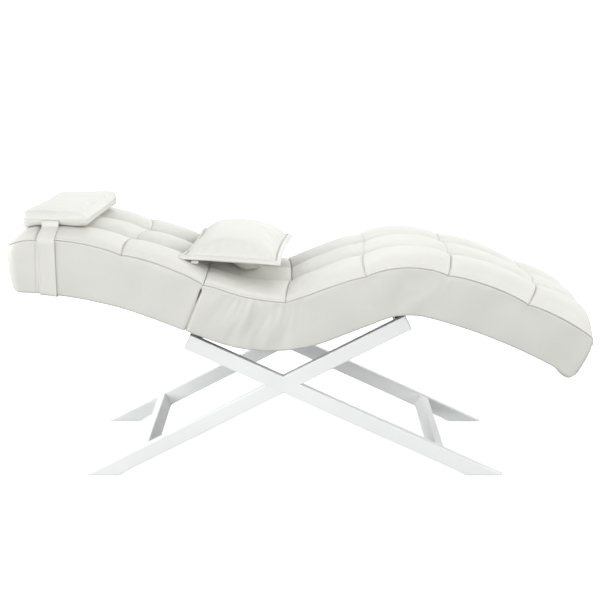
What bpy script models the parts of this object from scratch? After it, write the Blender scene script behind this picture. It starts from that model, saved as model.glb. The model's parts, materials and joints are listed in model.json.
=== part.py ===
"""Wave-shaped eyelash treatment bed.

A tufted pad in two bolted sections lies on two welded X trestles. A strapped head pillow slides
off over the head end, and a loose zipped cushion lies in the small of the back.
Metres, +Z up. The head end is at -X, the client's right side at -Y, and the floor at z = 0.
"""

from math import cos, pi, radians, sin, sqrt, tan

import bmesh
import bpy
from mathutils import Euler, Matrix, Vector

# Gap between pieces that touch, and between layers that follow the pad's curves in short chords
FIT = 0.0003
LAYER_FIT = 0.0008
CHORD_SAG = 0.0004

# Underside of the pad from the head end to the foot end: height, slope, then lengths and turns
HEAD_HEIGHT = 0.6254
HEAD_SLOPE = radians(-0.8)
HEAD_ARCH_LENGTH = 0.440
HEAD_ARCH_TURN = radians(-20.5)
BACK_LENGTH = 0.202
SEAT_DIP_LENGTH = 0.400
SEAT_DIP_TURN = radians(43.3)
THIGH_LENGTH = 0.166
KNEE_LENGTH = 0.150
KNEE_TURN = radians(-36.5)
CALF_LENGTH = 0.501
CALF_TURN = radians(-16.5)
HEAD_LEAN = 0.014
LEAN_RUN = 0.120

# Pad section: overall width, side band height at both ends, and the stuffed top
PAD_WIDTH = 0.600
HEAD_SIDE_HEIGHT = 0.171
FOOT_SIDE_HEIGHT = 0.139
HEAD_DROP = 0.024
HEAD_DROP_RUN = 0.085
CORNER_RADIUS = 0.012
BAND_THICKNESS = 0.004
BAND_SWELL = 0.003
FOOT_BAND_WRAP = 0.030
SPLIT_BAND_WRAP = 0.016
SPLIT_GAP = 0.0012

# Quilting: columns across, panels along, and how far the stuffing rises
COLUMN_WIDTH = 0.200
HEAD_PANEL_LENGTH = 0.091
PANEL_LENGTH = 0.271
HEAD_PANELS = 2
SEAT_PANELS = 4
PANEL_FULLNESS = 0.6
QUILT_EDGE = 0.006
HEAD_CROWN = 0.016
FOOT_CROWN = 0.046
CROWN_POWER = 6
CROWN_END_RUN = 0.085
CROWN_END_POWER = 3
CHANNEL_RISE = 0.011
SEAM_RISE = 0.006
PANEL_RISE = 0.022
QUILT_UNDER_SHARE = 0.35

# Wooden core of the pad
BOTTOM_CLOTH = 0.003
BOARD = 0.018
SIDE_RAIL_TOP = 0.075
DECK = 0.008
SLAT_WIDTH = 0.060
HEAD_SLATS = 1
SEAT_SLATS = 2
BEARER_WIDTH = 0.040
BEARER_SETBACK = 0.002
BEARER_HEIGHT = 0.030

# Steel tube frame
TUBE_FACE = 0.050
TUBE_DEPTH = 0.030
TUBE_WALL = 0.002
TUBE_RADIUS = 0.003
FRAME_WIDTH = 0.560
FOOT_SETBACK = 0.2601
FOOT_SPREAD = 1.269
KNEE_RAIL_RUN = 0.061
RAIL_RAISE = 0.013
BAR_OVERRUN = 0.025
HEAD_STRETCHER_RUN = 0.174
FOOT_STRETCHER_RUN = 0.179
FLOOR_PAD = 0.004
END_CAP = 0.003
PLUG_LENGTH = 0.018
PLUG_CHAMFER = 0.0008

# Fasteners: one thread size for the frame bolts and the bolts between the two sections
BOLT_RADIUS = 0.004
BOLT_HEAD_FLATS = 0.013
BOLT_HEAD_HEIGHT = 0.0053
BOLT_SHORTFALL = 0.002
FRAME_BOLT_OFFSET = 0.180
JOIN_BOLT_OFFSET = 0.160
JOIN_BOLT_HEIGHT = 0.040

# Head pillow and the elastic strap that holds it
PILLOW_LENGTH = 0.202
PILLOW_WIDTH = 0.450
PILLOW_HEIGHT = 0.046
PILLOW_SETBACK = 0.1571
PILLOW_YAW = radians(-3.7)
PILLOW_CORNER = 0.026
PILLOW_LEAST_CORNER = 0.0065
PILLOW_WAIST = 0.003
PILLOW_EDGE = 0.012
PILLOW_CROWN = 0.006
PILLOW_FLAT = 0.030
PILLOW_SAG = 0.040
PILLOW_CLEARANCE = 0.0006
PILLOW_SLIDE = radians(4.5)
STRAP_SETBACK = 0.1231
STRAP_WIDTH = 0.054
STRAP_SEAT = 0.018
STRAP_THICKNESS = 0.0015
STRAP_CLEARANCE = 0.0008
STRAP_UNDER_CLEARANCE = 0.0025

# Lumbar cushion with its flanged edge and zip
CUSHION_LENGTH = 0.326
CUSHION_WIDTH = 0.500
CUSHION_TOP = 0.078
CUSHION_BOTTOM = 0.070
CUSHION_RIM = 0.004
CUSHION_FLANGE = 0.014
CUSHION_PINCH = 0.060
CUSHION_FULLNESS = 0.5
CUSHION_SETBACK = 0.7091
CUSHION_LIFT = 0.0560
CUSHION_CLEARANCE = 0.0018
CUSHION_TILT = radians(3.0)
CUSHION_YAW = radians(-4.0)
ZIP_LENGTH = 0.240
ZIP_WIDTH = 0.012
ZIP_THICKNESS = 0.002
ZIP_INSET = 0.006
ZIP_EDGE = 0.0005
ZIP_GROOVE_DEPTH = 0.035
SLIDER_LENGTH = 0.014
SLIDER_WIDTH = 0.009
SLIDER_THICKNESS = 0.004
SLIDER_NOSE = 0.0063
SLIDER_EDGE = 0.0013
PULL_LENGTH = 0.012
PULL_WIDTH = 0.024
PULL_THICKNESS = 0.0016
PULL_CORNER = 0.003
PULL_HANG = radians(35.0)

# How finely curved pieces are divided
PANEL_SHARES = (0.0, 0.06, 0.18, 0.38, 0.62, 0.82, 0.94)
COLUMN_SHARES = (0.0, 0.07, 0.22, 0.50, 0.78, 0.93)
UNDER_SHARES = (-1.0, -0.8, 0.0, 0.8, 1.0)
PILLOW_SIDE_SHARES = (0.1, 0.3, 0.5, 0.7, 0.9)
PILLOW_END_SHARES = (0.2, 0.4, 0.6, 0.8)
CUSHION_SHARES = (0.25, 0.5, 0.7, 0.86, 0.96, 1.0)
STRAP_SHARES = (0.0, 0.25, 0.5, 0.75, 1.0)
SHOULDER_SHARES = (0.3, 0.55, 0.75, 0.9, 1.0)
BEVEL_SHARE = 0.3
CORNER_STEPS = 3
RING_STEPS = 12
MARCH_STEP = 0.002
RIDGE_STEP = 0.0115
RIDGE_SIDE_STEP = 0.0225
SOLVE_STEPS = 40

SPINE = (
    (HEAD_ARCH_LENGTH, HEAD_ARCH_TURN),
    (BACK_LENGTH, 0.0),
    (SEAT_DIP_LENGTH, SEAT_DIP_TURN),
    (THIGH_LENGTH, 0.0),
    (KNEE_LENGTH, KNEE_TURN),
    (CALF_LENGTH, CALF_TURN),
)
SPINE_JOINTS = [sum(length for length, turn in SPINE[:count]) for count in range(1, len(SPINE))]
PAD_LENGTH = sum(length for length, turn in SPINE)
KNEE_START = PAD_LENGTH - CALF_LENGTH - KNEE_LENGTH
HALF_WIDTH = PAD_WIDTH / 2
HALF_COLUMN = COLUMN_WIDTH / 2
CORE_HALF_WIDTH = HALF_WIDTH - BAND_THICKNESS - FIT
CORE_BOTTOM = BOTTOM_CLOTH + LAYER_FIT
DECK_BOTTOM = SIDE_RAIL_TOP + LAYER_FIT
FOAM_BOTTOM = DECK_BOTTOM + DECK + LAYER_FIT
RAIL_INSIDE = CORE_HALF_WIDTH - BOARD - FIT
BETWEEN_RAILS = (-RAIL_INSIDE, RAIL_INSIDE)
TRESTLE_INNER = FRAME_WIDTH / 2 - TUBE_DEPTH


# Pad geometry


def spine_point(station):
    """X, Z and slope of the pad's underside at a distance along it from the head end."""
    x, z, slope = 0.0, HEAD_HEIGHT, HEAD_SLOPE
    left = station
    for length, turn in SPINE[:-1]:
        run = min(left, length)
        x, z, slope = follow_arc(x, z, slope, run, turn * run / length)
        left -= run
        if left <= 0.0:
            return x, z, slope
    return follow_arc(x, z, slope, left, CALF_TURN * left / CALF_LENGTH)


def follow_arc(x, z, slope, run, turn):
    """End of an arc of a given length and turn that starts at a place and slope."""
    half = turn / 2
    chord = run * (sin(half) / half if half else 1.0)
    return x + chord * cos(slope + half), z + chord * sin(slope + half), slope + turn


def side_height(station):
    """Height of the side band at a seam: it tapers towards the feet and drops at the head end."""
    drop = HEAD_DROP * max(0.0, 1.0 - station / HEAD_DROP_RUN) ** 2
    return HEAD_SIDE_HEIGHT + (FOOT_SIDE_HEIGHT - HEAD_SIDE_HEIGHT) * station / PAD_LENGTH - drop


def bare_point(station, across, height):
    """Point off the pad's underside, measured from the pad's head end."""
    lean = HEAD_LEAN * height / HEAD_SIDE_HEIGHT * max(0.0, 1.0 - station / LEAN_RUN)
    x, z, slope = spine_point(station - lean)
    return Vector((x - height * sin(slope), across, z + height * cos(slope)))


def pad_end(station):
    """Distance from the head end of the underside to the quilt's edge at one end of the pad."""
    return bare_point(station, 0.0, side_height(station) + QUILT_EDGE).x


ORIGIN = Vector(((pad_end(0.0) + pad_end(PAD_LENGTH)) / 2, 0.0, 0.0))
HEAD_END = pad_end(0.0) - ORIGIN.x
HEAD_FOOT_X = HEAD_END + FOOT_SETBACK
TAIL_FOOT_X = HEAD_FOOT_X + FOOT_SPREAD
PILLOW_X = HEAD_END + PILLOW_SETBACK
STRAP_X = HEAD_END + STRAP_SETBACK
CUSHION_X = HEAD_END + CUSHION_SETBACK


def on_pad(station, across, height):
    """World point at a station along the pad, a place across it and a height off its underside."""
    return bare_point(station, across, height) - ORIGIN


def pad_axes(station):
    """World directions along the underside and square to it."""
    slope = spine_point(station)[2]
    return Vector((cos(slope), 0.0, sin(slope))), Vector((-sin(slope), 0.0, cos(slope)))


def seam_stations():
    """Stations of the cross seams, spaced by the panel length as measured along the welt line."""
    targets = [HEAD_PANEL_LENGTH + PANEL_LENGTH * count for count in range(HEAD_PANELS + SEAT_PANELS + 1)]
    seams = []
    covered = 0.0
    station = 0.0
    last = on_pad(station, 0.0, side_height(station))
    while len(seams) < len(targets) and station < PAD_LENGTH:
        station += MARCH_STEP
        point = on_pad(station, 0.0, side_height(station))
        covered += (point - last).length
        last = point
        if covered >= targets[len(seams)]:
            seams.append(station)
    return seams


SEAMS = [0.0] + seam_stations() + [PAD_LENGTH]
SPLIT = SEAMS[1 + HEAD_PANELS]
HEAD_SPAN = (0.0, SPLIT - SPLIT_GAP / 2)
SEAT_SPAN = (SPLIT + SPLIT_GAP / 2, PAD_LENGTH)
HEAD_WRAPS = (SEAMS[1], SPLIT_BAND_WRAP)
SEAT_WRAPS = (SPLIT_BAND_WRAP, FOOT_BAND_WRAP)
HEAD_RAIL_STATION = SEAT_SPAN[0] + BAND_THICKNESS + FIT + BOARD + BEARER_SETBACK + BEARER_WIDTH / 2
KNEE_RAIL_STATION = KNEE_START + KNEE_RAIL_RUN


def swell(share):
    """Rise of stuffing between two seams: 0 at either seam and 1 midway."""
    return max(0.0, 4.0 * share * (1.0 - share)) ** PANEL_FULLNESS


def panel_swell(station):
    """Rise along the tufted panel that holds a station, less in a short panel."""
    for start, end in zip(SEAMS, SEAMS[1:]):
        if station <= end:
            fullness = min(1.0, (end - start) / PANEL_LENGTH)
            return fullness * swell((station - start) / (end - start))
    return 0.0


def column_swell(across, half_width):
    """Rise across the quilted column that holds a place across the pad."""
    reach = abs(across)
    if reach <= HALF_COLUMN:
        return swell((across + HALF_COLUMN) / COLUMN_WIDTH)
    return swell((reach - HALF_COLUMN) / (half_width - HALF_COLUMN))


def end_rise(station):
    """Share of the crown that is left near the head and foot ends, where the quilt is sewn down."""
    reach = min(station, PAD_LENGTH - station)
    return 1.0 - max(0.0, 1.0 - reach / CROWN_END_RUN) ** CROWN_END_POWER


def crown(station, across, half_width):
    """Rise of the pad's middle over its sewn edges, which grows towards the feet."""
    reach = min(1.0, abs(across) / half_width)
    rise = HEAD_CROWN + (FOOT_CROWN - HEAD_CROWN) * (station / PAD_LENGTH) ** 2
    return rise * end_rise(station) * (1.0 - reach ** CROWN_POWER)


def welt_height(station):
    """Height of the welt line, which scallops between the cross seams."""
    return side_height(station) + CHANNEL_RISE * panel_swell(station)


def top_height(station, across, half_width=HALF_WIDTH):
    """Height of the stuffed top over the pad's underside."""
    along = panel_swell(station)
    over = column_swell(across, half_width) * end_rise(station)
    rest = PANEL_RISE - CHANNEL_RISE - SEAM_RISE
    stuffing = SEAM_RISE * over + rest * along * over
    return welt_height(station) + QUILT_EDGE + crown(station, across, half_width) + stuffing


def under_height(station, across, half_width=HALF_WIDTH):
    """Height of the quilt's underside, where the foam and the bands meet it in flat facets."""
    reach = max(-1.0, min(1.0, across / half_width))
    for left, right in zip(UNDER_SHARES, UNDER_SHARES[1:]):
        if reach <= right:
            break
    share = (reach - left) / (right - left)
    edges = [crown(station, half_width * edge, half_width) for edge in (left, right)]
    return welt_height(station) + QUILT_UNDER_SHARE * (edges[0] + (edges[1] - edges[0]) * share)


def half_width_at(station, span):
    """Half the pad's width at a station of one section, less in its rounded corners."""
    reach = min(station - span[0], span[1] - station)
    inside = max(0.0, CORNER_RADIUS - reach)
    return HALF_WIDTH - CORNER_RADIUS + sqrt(max(0.0, CORNER_RADIUS ** 2 - inside ** 2))


def station_at(x, height_of):
    """Station whose point at a given height has this world X."""
    low, high = 0.0, PAD_LENGTH
    for _ in range(SOLVE_STEPS):
        middle = (low + high) / 2
        if on_pad(middle, 0.0, height_of(middle)).x < x:
            low = middle
        else:
            high = middle
    return low


def pad_top(x, across):
    """World height of the stuffed top at a place in plan."""
    reach = max(-HALF_WIDTH, min(HALF_WIDTH, across))
    station = station_at(x, lambda place: top_height(place, reach))
    return on_pad(station, reach, top_height(station, reach)).z


def spaced(start, end, step):
    """Places from start to end, no further apart than step."""
    count = max(1, int((end - start) / step + 0.999))
    return [start + (end - start) * index / count for index in range(count + 1)]


def curvature(station):
    """Turn of the pad's underside per unit of its length."""
    left = station
    for length, turn in SPINE:
        if left <= length:
            return abs(turn) / length
        left -= length
    return 0.0


def pad_stations(start, end, marks=SPINE_JOINTS):
    """Stations from start to end, at the marks and as close as the pad's curves need."""
    inside = [mark for mark in sorted(marks) if start + MARCH_STEP < mark < end - MARCH_STEP]
    stations = [start]
    for first, last in zip([start] + inside, inside + [end]):
        sharpest = max(curvature(first), curvature((first + last) / 2), curvature(last))
        longest = sqrt(8 * CHORD_SAG / sharpest) if sharpest else last - first
        stations += spaced(first, last, longest)[1:]
    return stations


def quilt_stations(span, wraps):
    """Cross lines of one section's quilt: at seams, between them, in corners and where bands end."""
    panels = list(zip(SEAMS, SEAMS[1:]))
    marks = {first + (last - first) * share for first, last in panels for share in PANEL_SHARES}
    insets = [CORNER_RADIUS * (1.0 - cos(turn)) for turn in (pi / 4, pi / 2)]
    marks.update(span[0] + inset for inset in insets + [wraps[0]])
    marks.update(span[1] - inset for inset in insets + [wraps[1]])
    return pad_stations(*span, marks)


HEAD_STATIONS = quilt_stations(HEAD_SPAN, HEAD_WRAPS)
SEAT_STATIONS = quilt_stations(SEAT_SPAN, SEAT_WRAPS)


def clipped(stations, start, end):
    """Stations that lie strictly between two ends, and the ends."""
    return [start] + [station for station in stations if start + FIT < station < end - FIT] + [end]


# Mesh helpers


def bridge(mesh, first, second):
    """Join two loops of points with a band of faces."""
    count = len(first)
    for index in range(count):
        after = (index + 1) % count
        mesh.faces.new((first[index], first[after], second[after], second[index]))


def add_loft(mesh, loops, closed=False):
    """Add a solid through loops of world points, capped at its ends or closed into a ring."""
    rows = [[mesh.verts.new(point) for point in loop] for loop in loops]
    for first, second in zip(rows, rows[1:]):
        bridge(mesh, first, second)
    if closed:
        bridge(mesh, rows[-1], rows[0])
    else:
        mesh.faces.new(reversed(rows[0]))
        mesh.faces.new(rows[-1])


def make_object(name, mesh, material, smooth_angle=None, place=None):
    """Turn a finished mesh into a named object with its own material."""
    bmesh.ops.recalc_face_normals(mesh, faces=mesh.faces)
    data = bpy.data.meshes.new(name)
    mesh.to_mesh(data)
    mesh.free()
    if smooth_angle is not None:
        data.shade_smooth()
        data.set_sharp_from_angle(angle=smooth_angle)
    data.materials.append(make_material(name, *material))
    item = bpy.data.objects.new(name, data)
    if place is not None:
        item.matrix_world = place
    bpy.context.scene.collection.objects.link(item)
    return item


def make_material(name, colour, roughness, metallic):
    """Plain finish of one piece."""
    material = bpy.data.materials.new(name)
    material.use_nodes = True
    shader = material.node_tree.nodes["Principled BSDF"]
    shader.inputs["Base Color"].default_value = (*colour, 1.0)
    shader.inputs["Roughness"].default_value = roughness
    shader.inputs["Metallic"].default_value = metallic
    return material


def cut(item, cutter):
    """Cut a guide shape out of a piece."""
    modifier = item.modifiers.new("cut_" + cutter.name, "BOOLEAN")
    modifier.operation = "DIFFERENCE"
    modifier.object = cutter


def make_cutter(name, mesh):
    """Guide shape that only cuts other pieces."""
    item = make_object(name, mesh, LEATHERETTE)
    item.hide_render = True
    item.display_type = "WIRE"
    return item


def round_ring(radius):
    """Points of a circle."""
    turns = [2 * pi * index / RING_STEPS for index in range(RING_STEPS)]
    return [(radius * cos(turn), radius * sin(turn)) for turn in turns]


def hex_ring(flats):
    """Points of a hexagon and of the middles of its sides, as many as a circle has."""
    corner = flats / 2 / cos(pi / 6)
    reaches = [corner if index % 2 == 0 else flats / 2 for index in range(RING_STEPS)]
    turns = [2 * pi * index / RING_STEPS for index in range(RING_STEPS)]
    return [(reach * cos(turn), reach * sin(turn)) for reach, turn in zip(reaches, turns)]


def box_ring(width, height, radius):
    """Points of a rectangle with rounded corners."""
    points = []
    centres = ((1, 1), (-1, 1), (-1, -1), (1, -1))
    for corner, (side, level) in enumerate(centres):
        for step in range(CORNER_STEPS):
            turn = pi / 2 * (corner + step / (CORNER_STEPS - 1))
            points.append((side * (width / 2 - radius) + radius * cos(turn),
                           level * (height / 2 - radius) + radius * sin(turn)))
    return points


def stack(origin, axis, sideways, layers):
    """Loops of a stacked shape: each layer is a distance along the axis and a ring of points."""
    third = axis.cross(sideways)
    loops = []
    for reach, ring in layers:
        base = origin + axis * reach
        loops.append([base + sideways * across + third * up for across, up in ring])
    return loops


# Finishes: colour, roughness, metallic
LEATHERETTE = ((0.87, 0.86, 0.84), 0.45, 0.0)
POWDER_COAT = ((0.88, 0.89, 0.90), 0.35, 0.0)
PLASTIC = ((0.86, 0.86, 0.86), 0.5, 0.0)
STEEL = ((0.55, 0.55, 0.56), 0.35, 1.0)
PLYWOOD = ((0.66, 0.50, 0.33), 0.7, 0.0)
FOAM = ((0.90, 0.86, 0.66), 0.95, 0.0)
CLOTH = ((0.82, 0.81, 0.79), 0.95, 0.0)
ELASTIC = ((0.88, 0.87, 0.85), 0.8, 0.0)
SOFT_ANGLE = radians(50)
METAL_ANGLE = radians(35)


# Upholstery of one pad section


def make_quilt(prefix, span, stations):
    """Stuffed top panel with its tufted columns."""
    loops = []
    for station in stations:
        half_width = half_width_at(station, span)
        edges = (-half_width, -HALF_COLUMN, HALF_COLUMN, half_width)
        over = []
        for left, right in zip(edges, edges[1:]):
            over += [left + (right - left) * share for share in COLUMN_SHARES]
        over.append(half_width)
        under = [half_width * share for share in reversed(UNDER_SHARES)]
        loop = [on_pad(station, across, top_height(station, across, half_width)) for across in over]
        loop += [on_pad(station, across, under_height(station, across, half_width)) for across in under]
        loops.append(loop)
    mesh = bmesh.new()
    add_loft(mesh, loops)
    return make_object(prefix + "_quilt", mesh, LEATHERETTE, SOFT_ANGLE)


def make_side_band(name, side, stations, start, end):
    """Side of the cover, sewn to the quilt along the scalloped welt line."""
    loops = []
    for station in clipped(stations, start, end):
        top = welt_height(station) - FIT
        outline = ((HALF_WIDTH, 0.0), (HALF_WIDTH + BAND_SWELL, top / 2), (HALF_WIDTH, top),
                   (HALF_WIDTH - BAND_THICKNESS, top), (HALF_WIDTH - BAND_THICKNESS, 0.0))
        place = min(max(station, start + FIT), end - FIT)
        loops.append([on_pad(place, side * across, height) for across, height in outline])
    mesh = bmesh.new()
    add_loft(mesh, loops)
    return make_object(name, mesh, LEATHERETTE, SOFT_ANGLE)


def band_plan(depths):
    """Plan of a band round one end: its outer and inner faces, as depths from the end and places."""
    straight = HALF_WIDTH - CORNER_RADIUS
    radii = (CORNER_RADIUS, CORNER_RADIUS - BAND_THICKNESS)
    corner = [[(depth, straight + radius) for radius in radii] for depth in depths]
    for step in range(CORNER_STEPS + 1):
        turn = pi / 2 * step / CORNER_STEPS
        corner.append([(CORNER_RADIUS - radius * sin(turn), straight + radius * cos(turn))
                       for radius in radii])
    places = [straight * share for share in UNDER_SHARES[-2:0:-1]]
    middle = [[(0.0, place), (BAND_THICKNESS, place)] for place in places]
    mirrored = [[(depth, -place) for depth, place in faces] for faces in reversed(corner)]
    return corner + middle + mirrored


def make_end_band(name, span, stations, inward, wrap):
    """End of the cover, wrapped round both corners. Inward is the way into the section."""
    end = span[0] if inward > 0 else span[1]
    reaches = [abs(station - end) for station in stations]
    depths = sorted((reach for reach in reaches if CORNER_RADIUS + FIT < reach < wrap + FIT), reverse=True)
    loops = []
    for outer, inner in band_plan(depths):
        loop = []
        for (depth, place), levels in ((outer, (0, 1)), (inner, (1, 0))):
            station = end + inward * depth
            half_width = half_width_at(station, span)
            heights = (0.0, under_height(station, place, half_width) - LAYER_FIT)
            loop += [on_pad(station, place, heights[level]) for level in levels]
        loops.append(loop)
    mesh = bmesh.new()
    add_loft(mesh, loops)
    return make_object(name, mesh, LEATHERETTE, SOFT_ANGLE)


def make_board(name, span, sides, levels, material):
    """Board or layer that follows the pad between two stations, two sides and two heights."""
    outline = [(sides[index], levels[level]) for index, level in ((0, 0), (1, 0), (1, 1), (0, 1))]
    loops = [[on_pad(station, *place) for place in outline] for station in pad_stations(*span)]
    mesh = bmesh.new()
    add_loft(mesh, loops)
    return make_object(name, mesh, material)


def make_foam(prefix, span, stations):
    """Foam block between the deck and the quilt."""
    across = [CORE_HALF_WIDTH * share for share in reversed(UNDER_SHARES)]
    loops = []
    for station in clipped(stations, *span):
        outline = [(-CORE_HALF_WIDTH, FOAM_BOTTOM), (CORE_HALF_WIDTH, FOAM_BOTTOM)]
        outline += [(place, under_height(station, place) - LAYER_FIT) for place in across]
        loops.append([on_pad(station, *place) for place in outline])
    mesh = bmesh.new()
    add_loft(mesh, loops)
    return make_object(prefix + "_foam", mesh, FOAM)


def make_core(prefix, span, stations, slat_count):
    """Wooden core: side rails, end boards, slats, deck and bottom cloth."""
    inner = (span[0] + CORNER_RADIUS + FIT, span[1] - CORNER_RADIUS - FIT)
    boards = (span[0] + BAND_THICKNESS + FIT, span[1] - BAND_THICKNESS - FIT)
    rail_levels = (CORE_BOTTOM, SIDE_RAIL_TOP)
    full_width = (-CORE_HALF_WIDTH, CORE_HALF_WIDTH)
    for hand, side in (("right", -1), ("left", 1)):
        sides = (side * (CORE_HALF_WIDTH - BOARD), side * CORE_HALF_WIDTH)
        make_board(f"{prefix}_side_rail_{hand}", inner, sides, rail_levels, PLYWOOD)
    end_spans = {"upper": (boards[0], boards[0] + BOARD), "lower": (boards[1] - BOARD, boards[1])}
    end_boards = {}
    for place, board in end_spans.items():
        name = f"{prefix}_{place}_end_board"
        end_boards[place] = make_board(name, board, BETWEEN_RAILS, rail_levels, PLYWOOD)
    slat_levels = (SIDE_RAIL_TOP - BOARD, SIDE_RAIL_TOP)
    for index in range(slat_count):
        middle = boards[0] + (boards[1] - boards[0]) * (index + 1) / (slat_count + 1)
        slat = (middle - SLAT_WIDTH / 2, middle + SLAT_WIDTH / 2)
        make_board(f"{prefix}_slat_{index + 1}", slat, BETWEEN_RAILS, slat_levels, PLYWOOD)
    make_board(prefix + "_deck", inner, full_width, (DECK_BOTTOM, DECK_BOTTOM + DECK), PLYWOOD)
    make_foam(prefix, inner, stations)
    cloth = make_board(prefix + "_bottom_cloth", inner, full_width, (0.0, BOTTOM_CLOTH), CLOTH)
    return end_boards, cloth


def make_bearer(name, station):
    """Board across the seat section that takes the frame bolts."""
    span = (station - BEARER_WIDTH / 2, station + BEARER_WIDTH / 2)
    return make_board(name, span, BETWEEN_RAILS, (CORE_BOTTOM, CORE_BOTTOM + BEARER_HEIGHT), PLYWOOD)


# Steel frame


def rail_top(station):
    """Height of a flat rail's top face off the underside, clear of the pad where that arches."""
    place = on_pad(station, 0.0, 0.0)
    normal = pad_axes(station)[1]
    ends = [on_pad(station + reach, 0.0, 0.0) - place for reach in (-TUBE_DEPTH / 2, TUBE_DEPTH / 2)]
    return min([0.0] + [end.dot(normal) for end in ends]) - LAYER_FIT


def bar_line(foot_x, station):
    """Foot, direction and square direction of a trestle bar that ends under a rail of the pad."""
    foot = Vector((foot_x, 0.0, 0.0))
    normal = pad_axes(station)[1]
    top = on_pad(station, 0.0, rail_top(station) - TUBE_FACE / 2 - RAIL_RAISE)
    direction = (top - foot).normalized()
    square = Vector((-direction.z, 0.0, direction.x))
    if square.dot(normal) < 0.0:
        square = -square
    return foot, direction, square, (top - foot).length


def section_on_plane(line, ring, middle_y, point, normal):
    """Ring of a tube's section, run along the tube to a cutting plane."""
    foot, direction, square = line[:3]
    loop = []
    for up, across in ring:
        start = foot + square * up + Vector((0.0, middle_y + across, 0.0))
        reach = (point - start).dot(normal) / direction.dot(normal)
        loop.append(start + direction * reach)
    return loop


OUTER_RING = box_ring(TUBE_FACE, TUBE_DEPTH, TUBE_RADIUS)
INNER_RING = box_ring(TUBE_FACE - 2 * TUBE_WALL, TUBE_DEPTH - 2 * TUBE_WALL, TUBE_RADIUS - TUBE_WALL)
PLUG_RING = box_ring(TUBE_FACE - 2 * (TUBE_WALL + FIT), TUBE_DEPTH - 2 * (TUBE_WALL + FIT),
                     TUBE_RADIUS - TUBE_WALL)
CHAMFER_RING = box_ring(TUBE_FACE - 2 * PLUG_CHAMFER, TUBE_DEPTH - 2 * PLUG_CHAMFER,
                        TUBE_RADIUS - PLUG_CHAMFER)


def make_bar(name, line, middle_y, low_plane, high_plane):
    """Open-ended tube of a trestle between two cutting planes."""
    loops = []
    for ring, plane in ((INNER_RING, low_plane), (OUTER_RING, low_plane),
                        (OUTER_RING, high_plane), (INNER_RING, high_plane)):
        loops.append(section_on_plane(line, ring, middle_y, *plane))
    mesh = bmesh.new()
    add_loft(mesh, loops, closed=True)
    return make_object(name, mesh, POWDER_COAT, METAL_ANGLE)


def make_plug(name, line, middle_y, point, outward, thickness):
    """Moulded plug in an open tube end: a stub inside the tube and a flange over its edge."""
    loops = []
    layers = ((PLUG_RING, -PLUG_LENGTH), (PLUG_RING, 0.0), (OUTER_RING, 0.0),
              (OUTER_RING, thickness - PLUG_CHAMFER), (CHAMFER_RING, thickness))
    for ring, reach in layers:
        loops.append(section_on_plane(line, ring, middle_y, point + outward * reach, outward))
    mesh = bmesh.new()
    add_loft(mesh, loops)
    return make_object(name, mesh, PLASTIC, METAL_ANGLE)


def make_cross_tube(name, centre, square, along):
    """Tube across the bed between the two trestles, its wide faces along a given direction."""
    half = TRESTLE_INNER - FIT
    layers = ((-half, INNER_RING), (-half, OUTER_RING), (half, OUTER_RING), (half, INNER_RING))
    loops = []
    for reach, ring in layers:
        base = centre + Vector((0.0, reach, 0.0))
        loops.append([base + square * up + along * over for up, over in ring])
    mesh = bmesh.new()
    add_loft(mesh, loops, closed=True)
    return make_object(name, mesh, POWDER_COAT, METAL_ANGLE)


def make_trestle(hand, side, long_line, cross_line):
    """One X: a through bar, a bar welded to it in two halves, floor pads and end caps."""
    middle_y = side * (FRAME_WIDTH - TUBE_DEPTH) / 2
    up = Vector((0.0, 0.0, 1.0))
    floor = (up * (FLOOR_PAD + FIT), up)
    flank = TUBE_FACE / 2 + FIT
    long_foot, long_square = long_line[0], long_line[2]
    below = (long_foot - long_square * flank, long_square)
    above = (long_foot + long_square * flank, long_square)
    tops = {}
    for label, line in (("long", long_line), ("cross", cross_line)):
        tops[label] = (line[0] + line[1] * (line[3] + BAR_OVERRUN), line[1])
    make_bar(f"{hand}_long_bar", long_line, middle_y, floor, tops["long"])
    make_bar(f"{hand}_lower_bar", cross_line, middle_y, floor, below)
    make_bar(f"{hand}_upper_bar", cross_line, middle_y, above, tops["cross"])
    for place, line in (("foot", long_line), ("head", cross_line)):
        make_plug(f"{hand}_{place}_floor_pad", line, middle_y, up * FLOOR_PAD, -up, FLOOR_PAD)
    for place, label, line in (("head", "long", long_line), ("knee", "cross", cross_line)):
        point = tops[label][0] + line[1] * FIT
        make_plug(f"{hand}_{place}_end_cap", line, middle_y, point, line[1], END_CAP)


def make_rail(name, station):
    """Upper cross tube, flat under the pad."""
    along, normal = pad_axes(station)
    centre = on_pad(station, 0.0, rail_top(station) - TUBE_FACE / 2)
    return make_cross_tube(name, centre, normal, along)


def make_stretcher(name, line, run):
    """Lower cross tube, set square to the bar that carries it."""
    foot, direction, square = line[:3]
    return make_cross_tube(name, foot + direction * run, square, direction)


# Fasteners


def frame_bolt_places():
    """Places of the frame bolts: the underside of a rail, and the pad's directions there."""
    places = {}
    for rail, station in (("head", HEAD_RAIL_STATION), ("knee", KNEE_RAIL_STATION)):
        along, normal = pad_axes(station)
        for hand, side in (("right", -1), ("left", 1)):
            origin = on_pad(station, side * FRAME_BOLT_OFFSET, rail_top(station) - TUBE_FACE)
            places[f"{rail}_frame_bolt_{hand}"] = (origin, normal, along)
    return places


def join_bolt_places():
    """Places of the bolts between the sections: the head section's end board, and directions."""
    along, normal = pad_axes(SPLIT)
    board_face = HEAD_SPAN[1] - BAND_THICKNESS - FIT - BOARD
    places = {}
    for hand, side in (("right", -1), ("left", 1)):
        origin = on_pad(board_face, side * JOIN_BOLT_OFFSET, JOIN_BOLT_HEIGHT)
        places[f"join_bolt_{hand}"] = (origin, along, normal)
    return places


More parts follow.
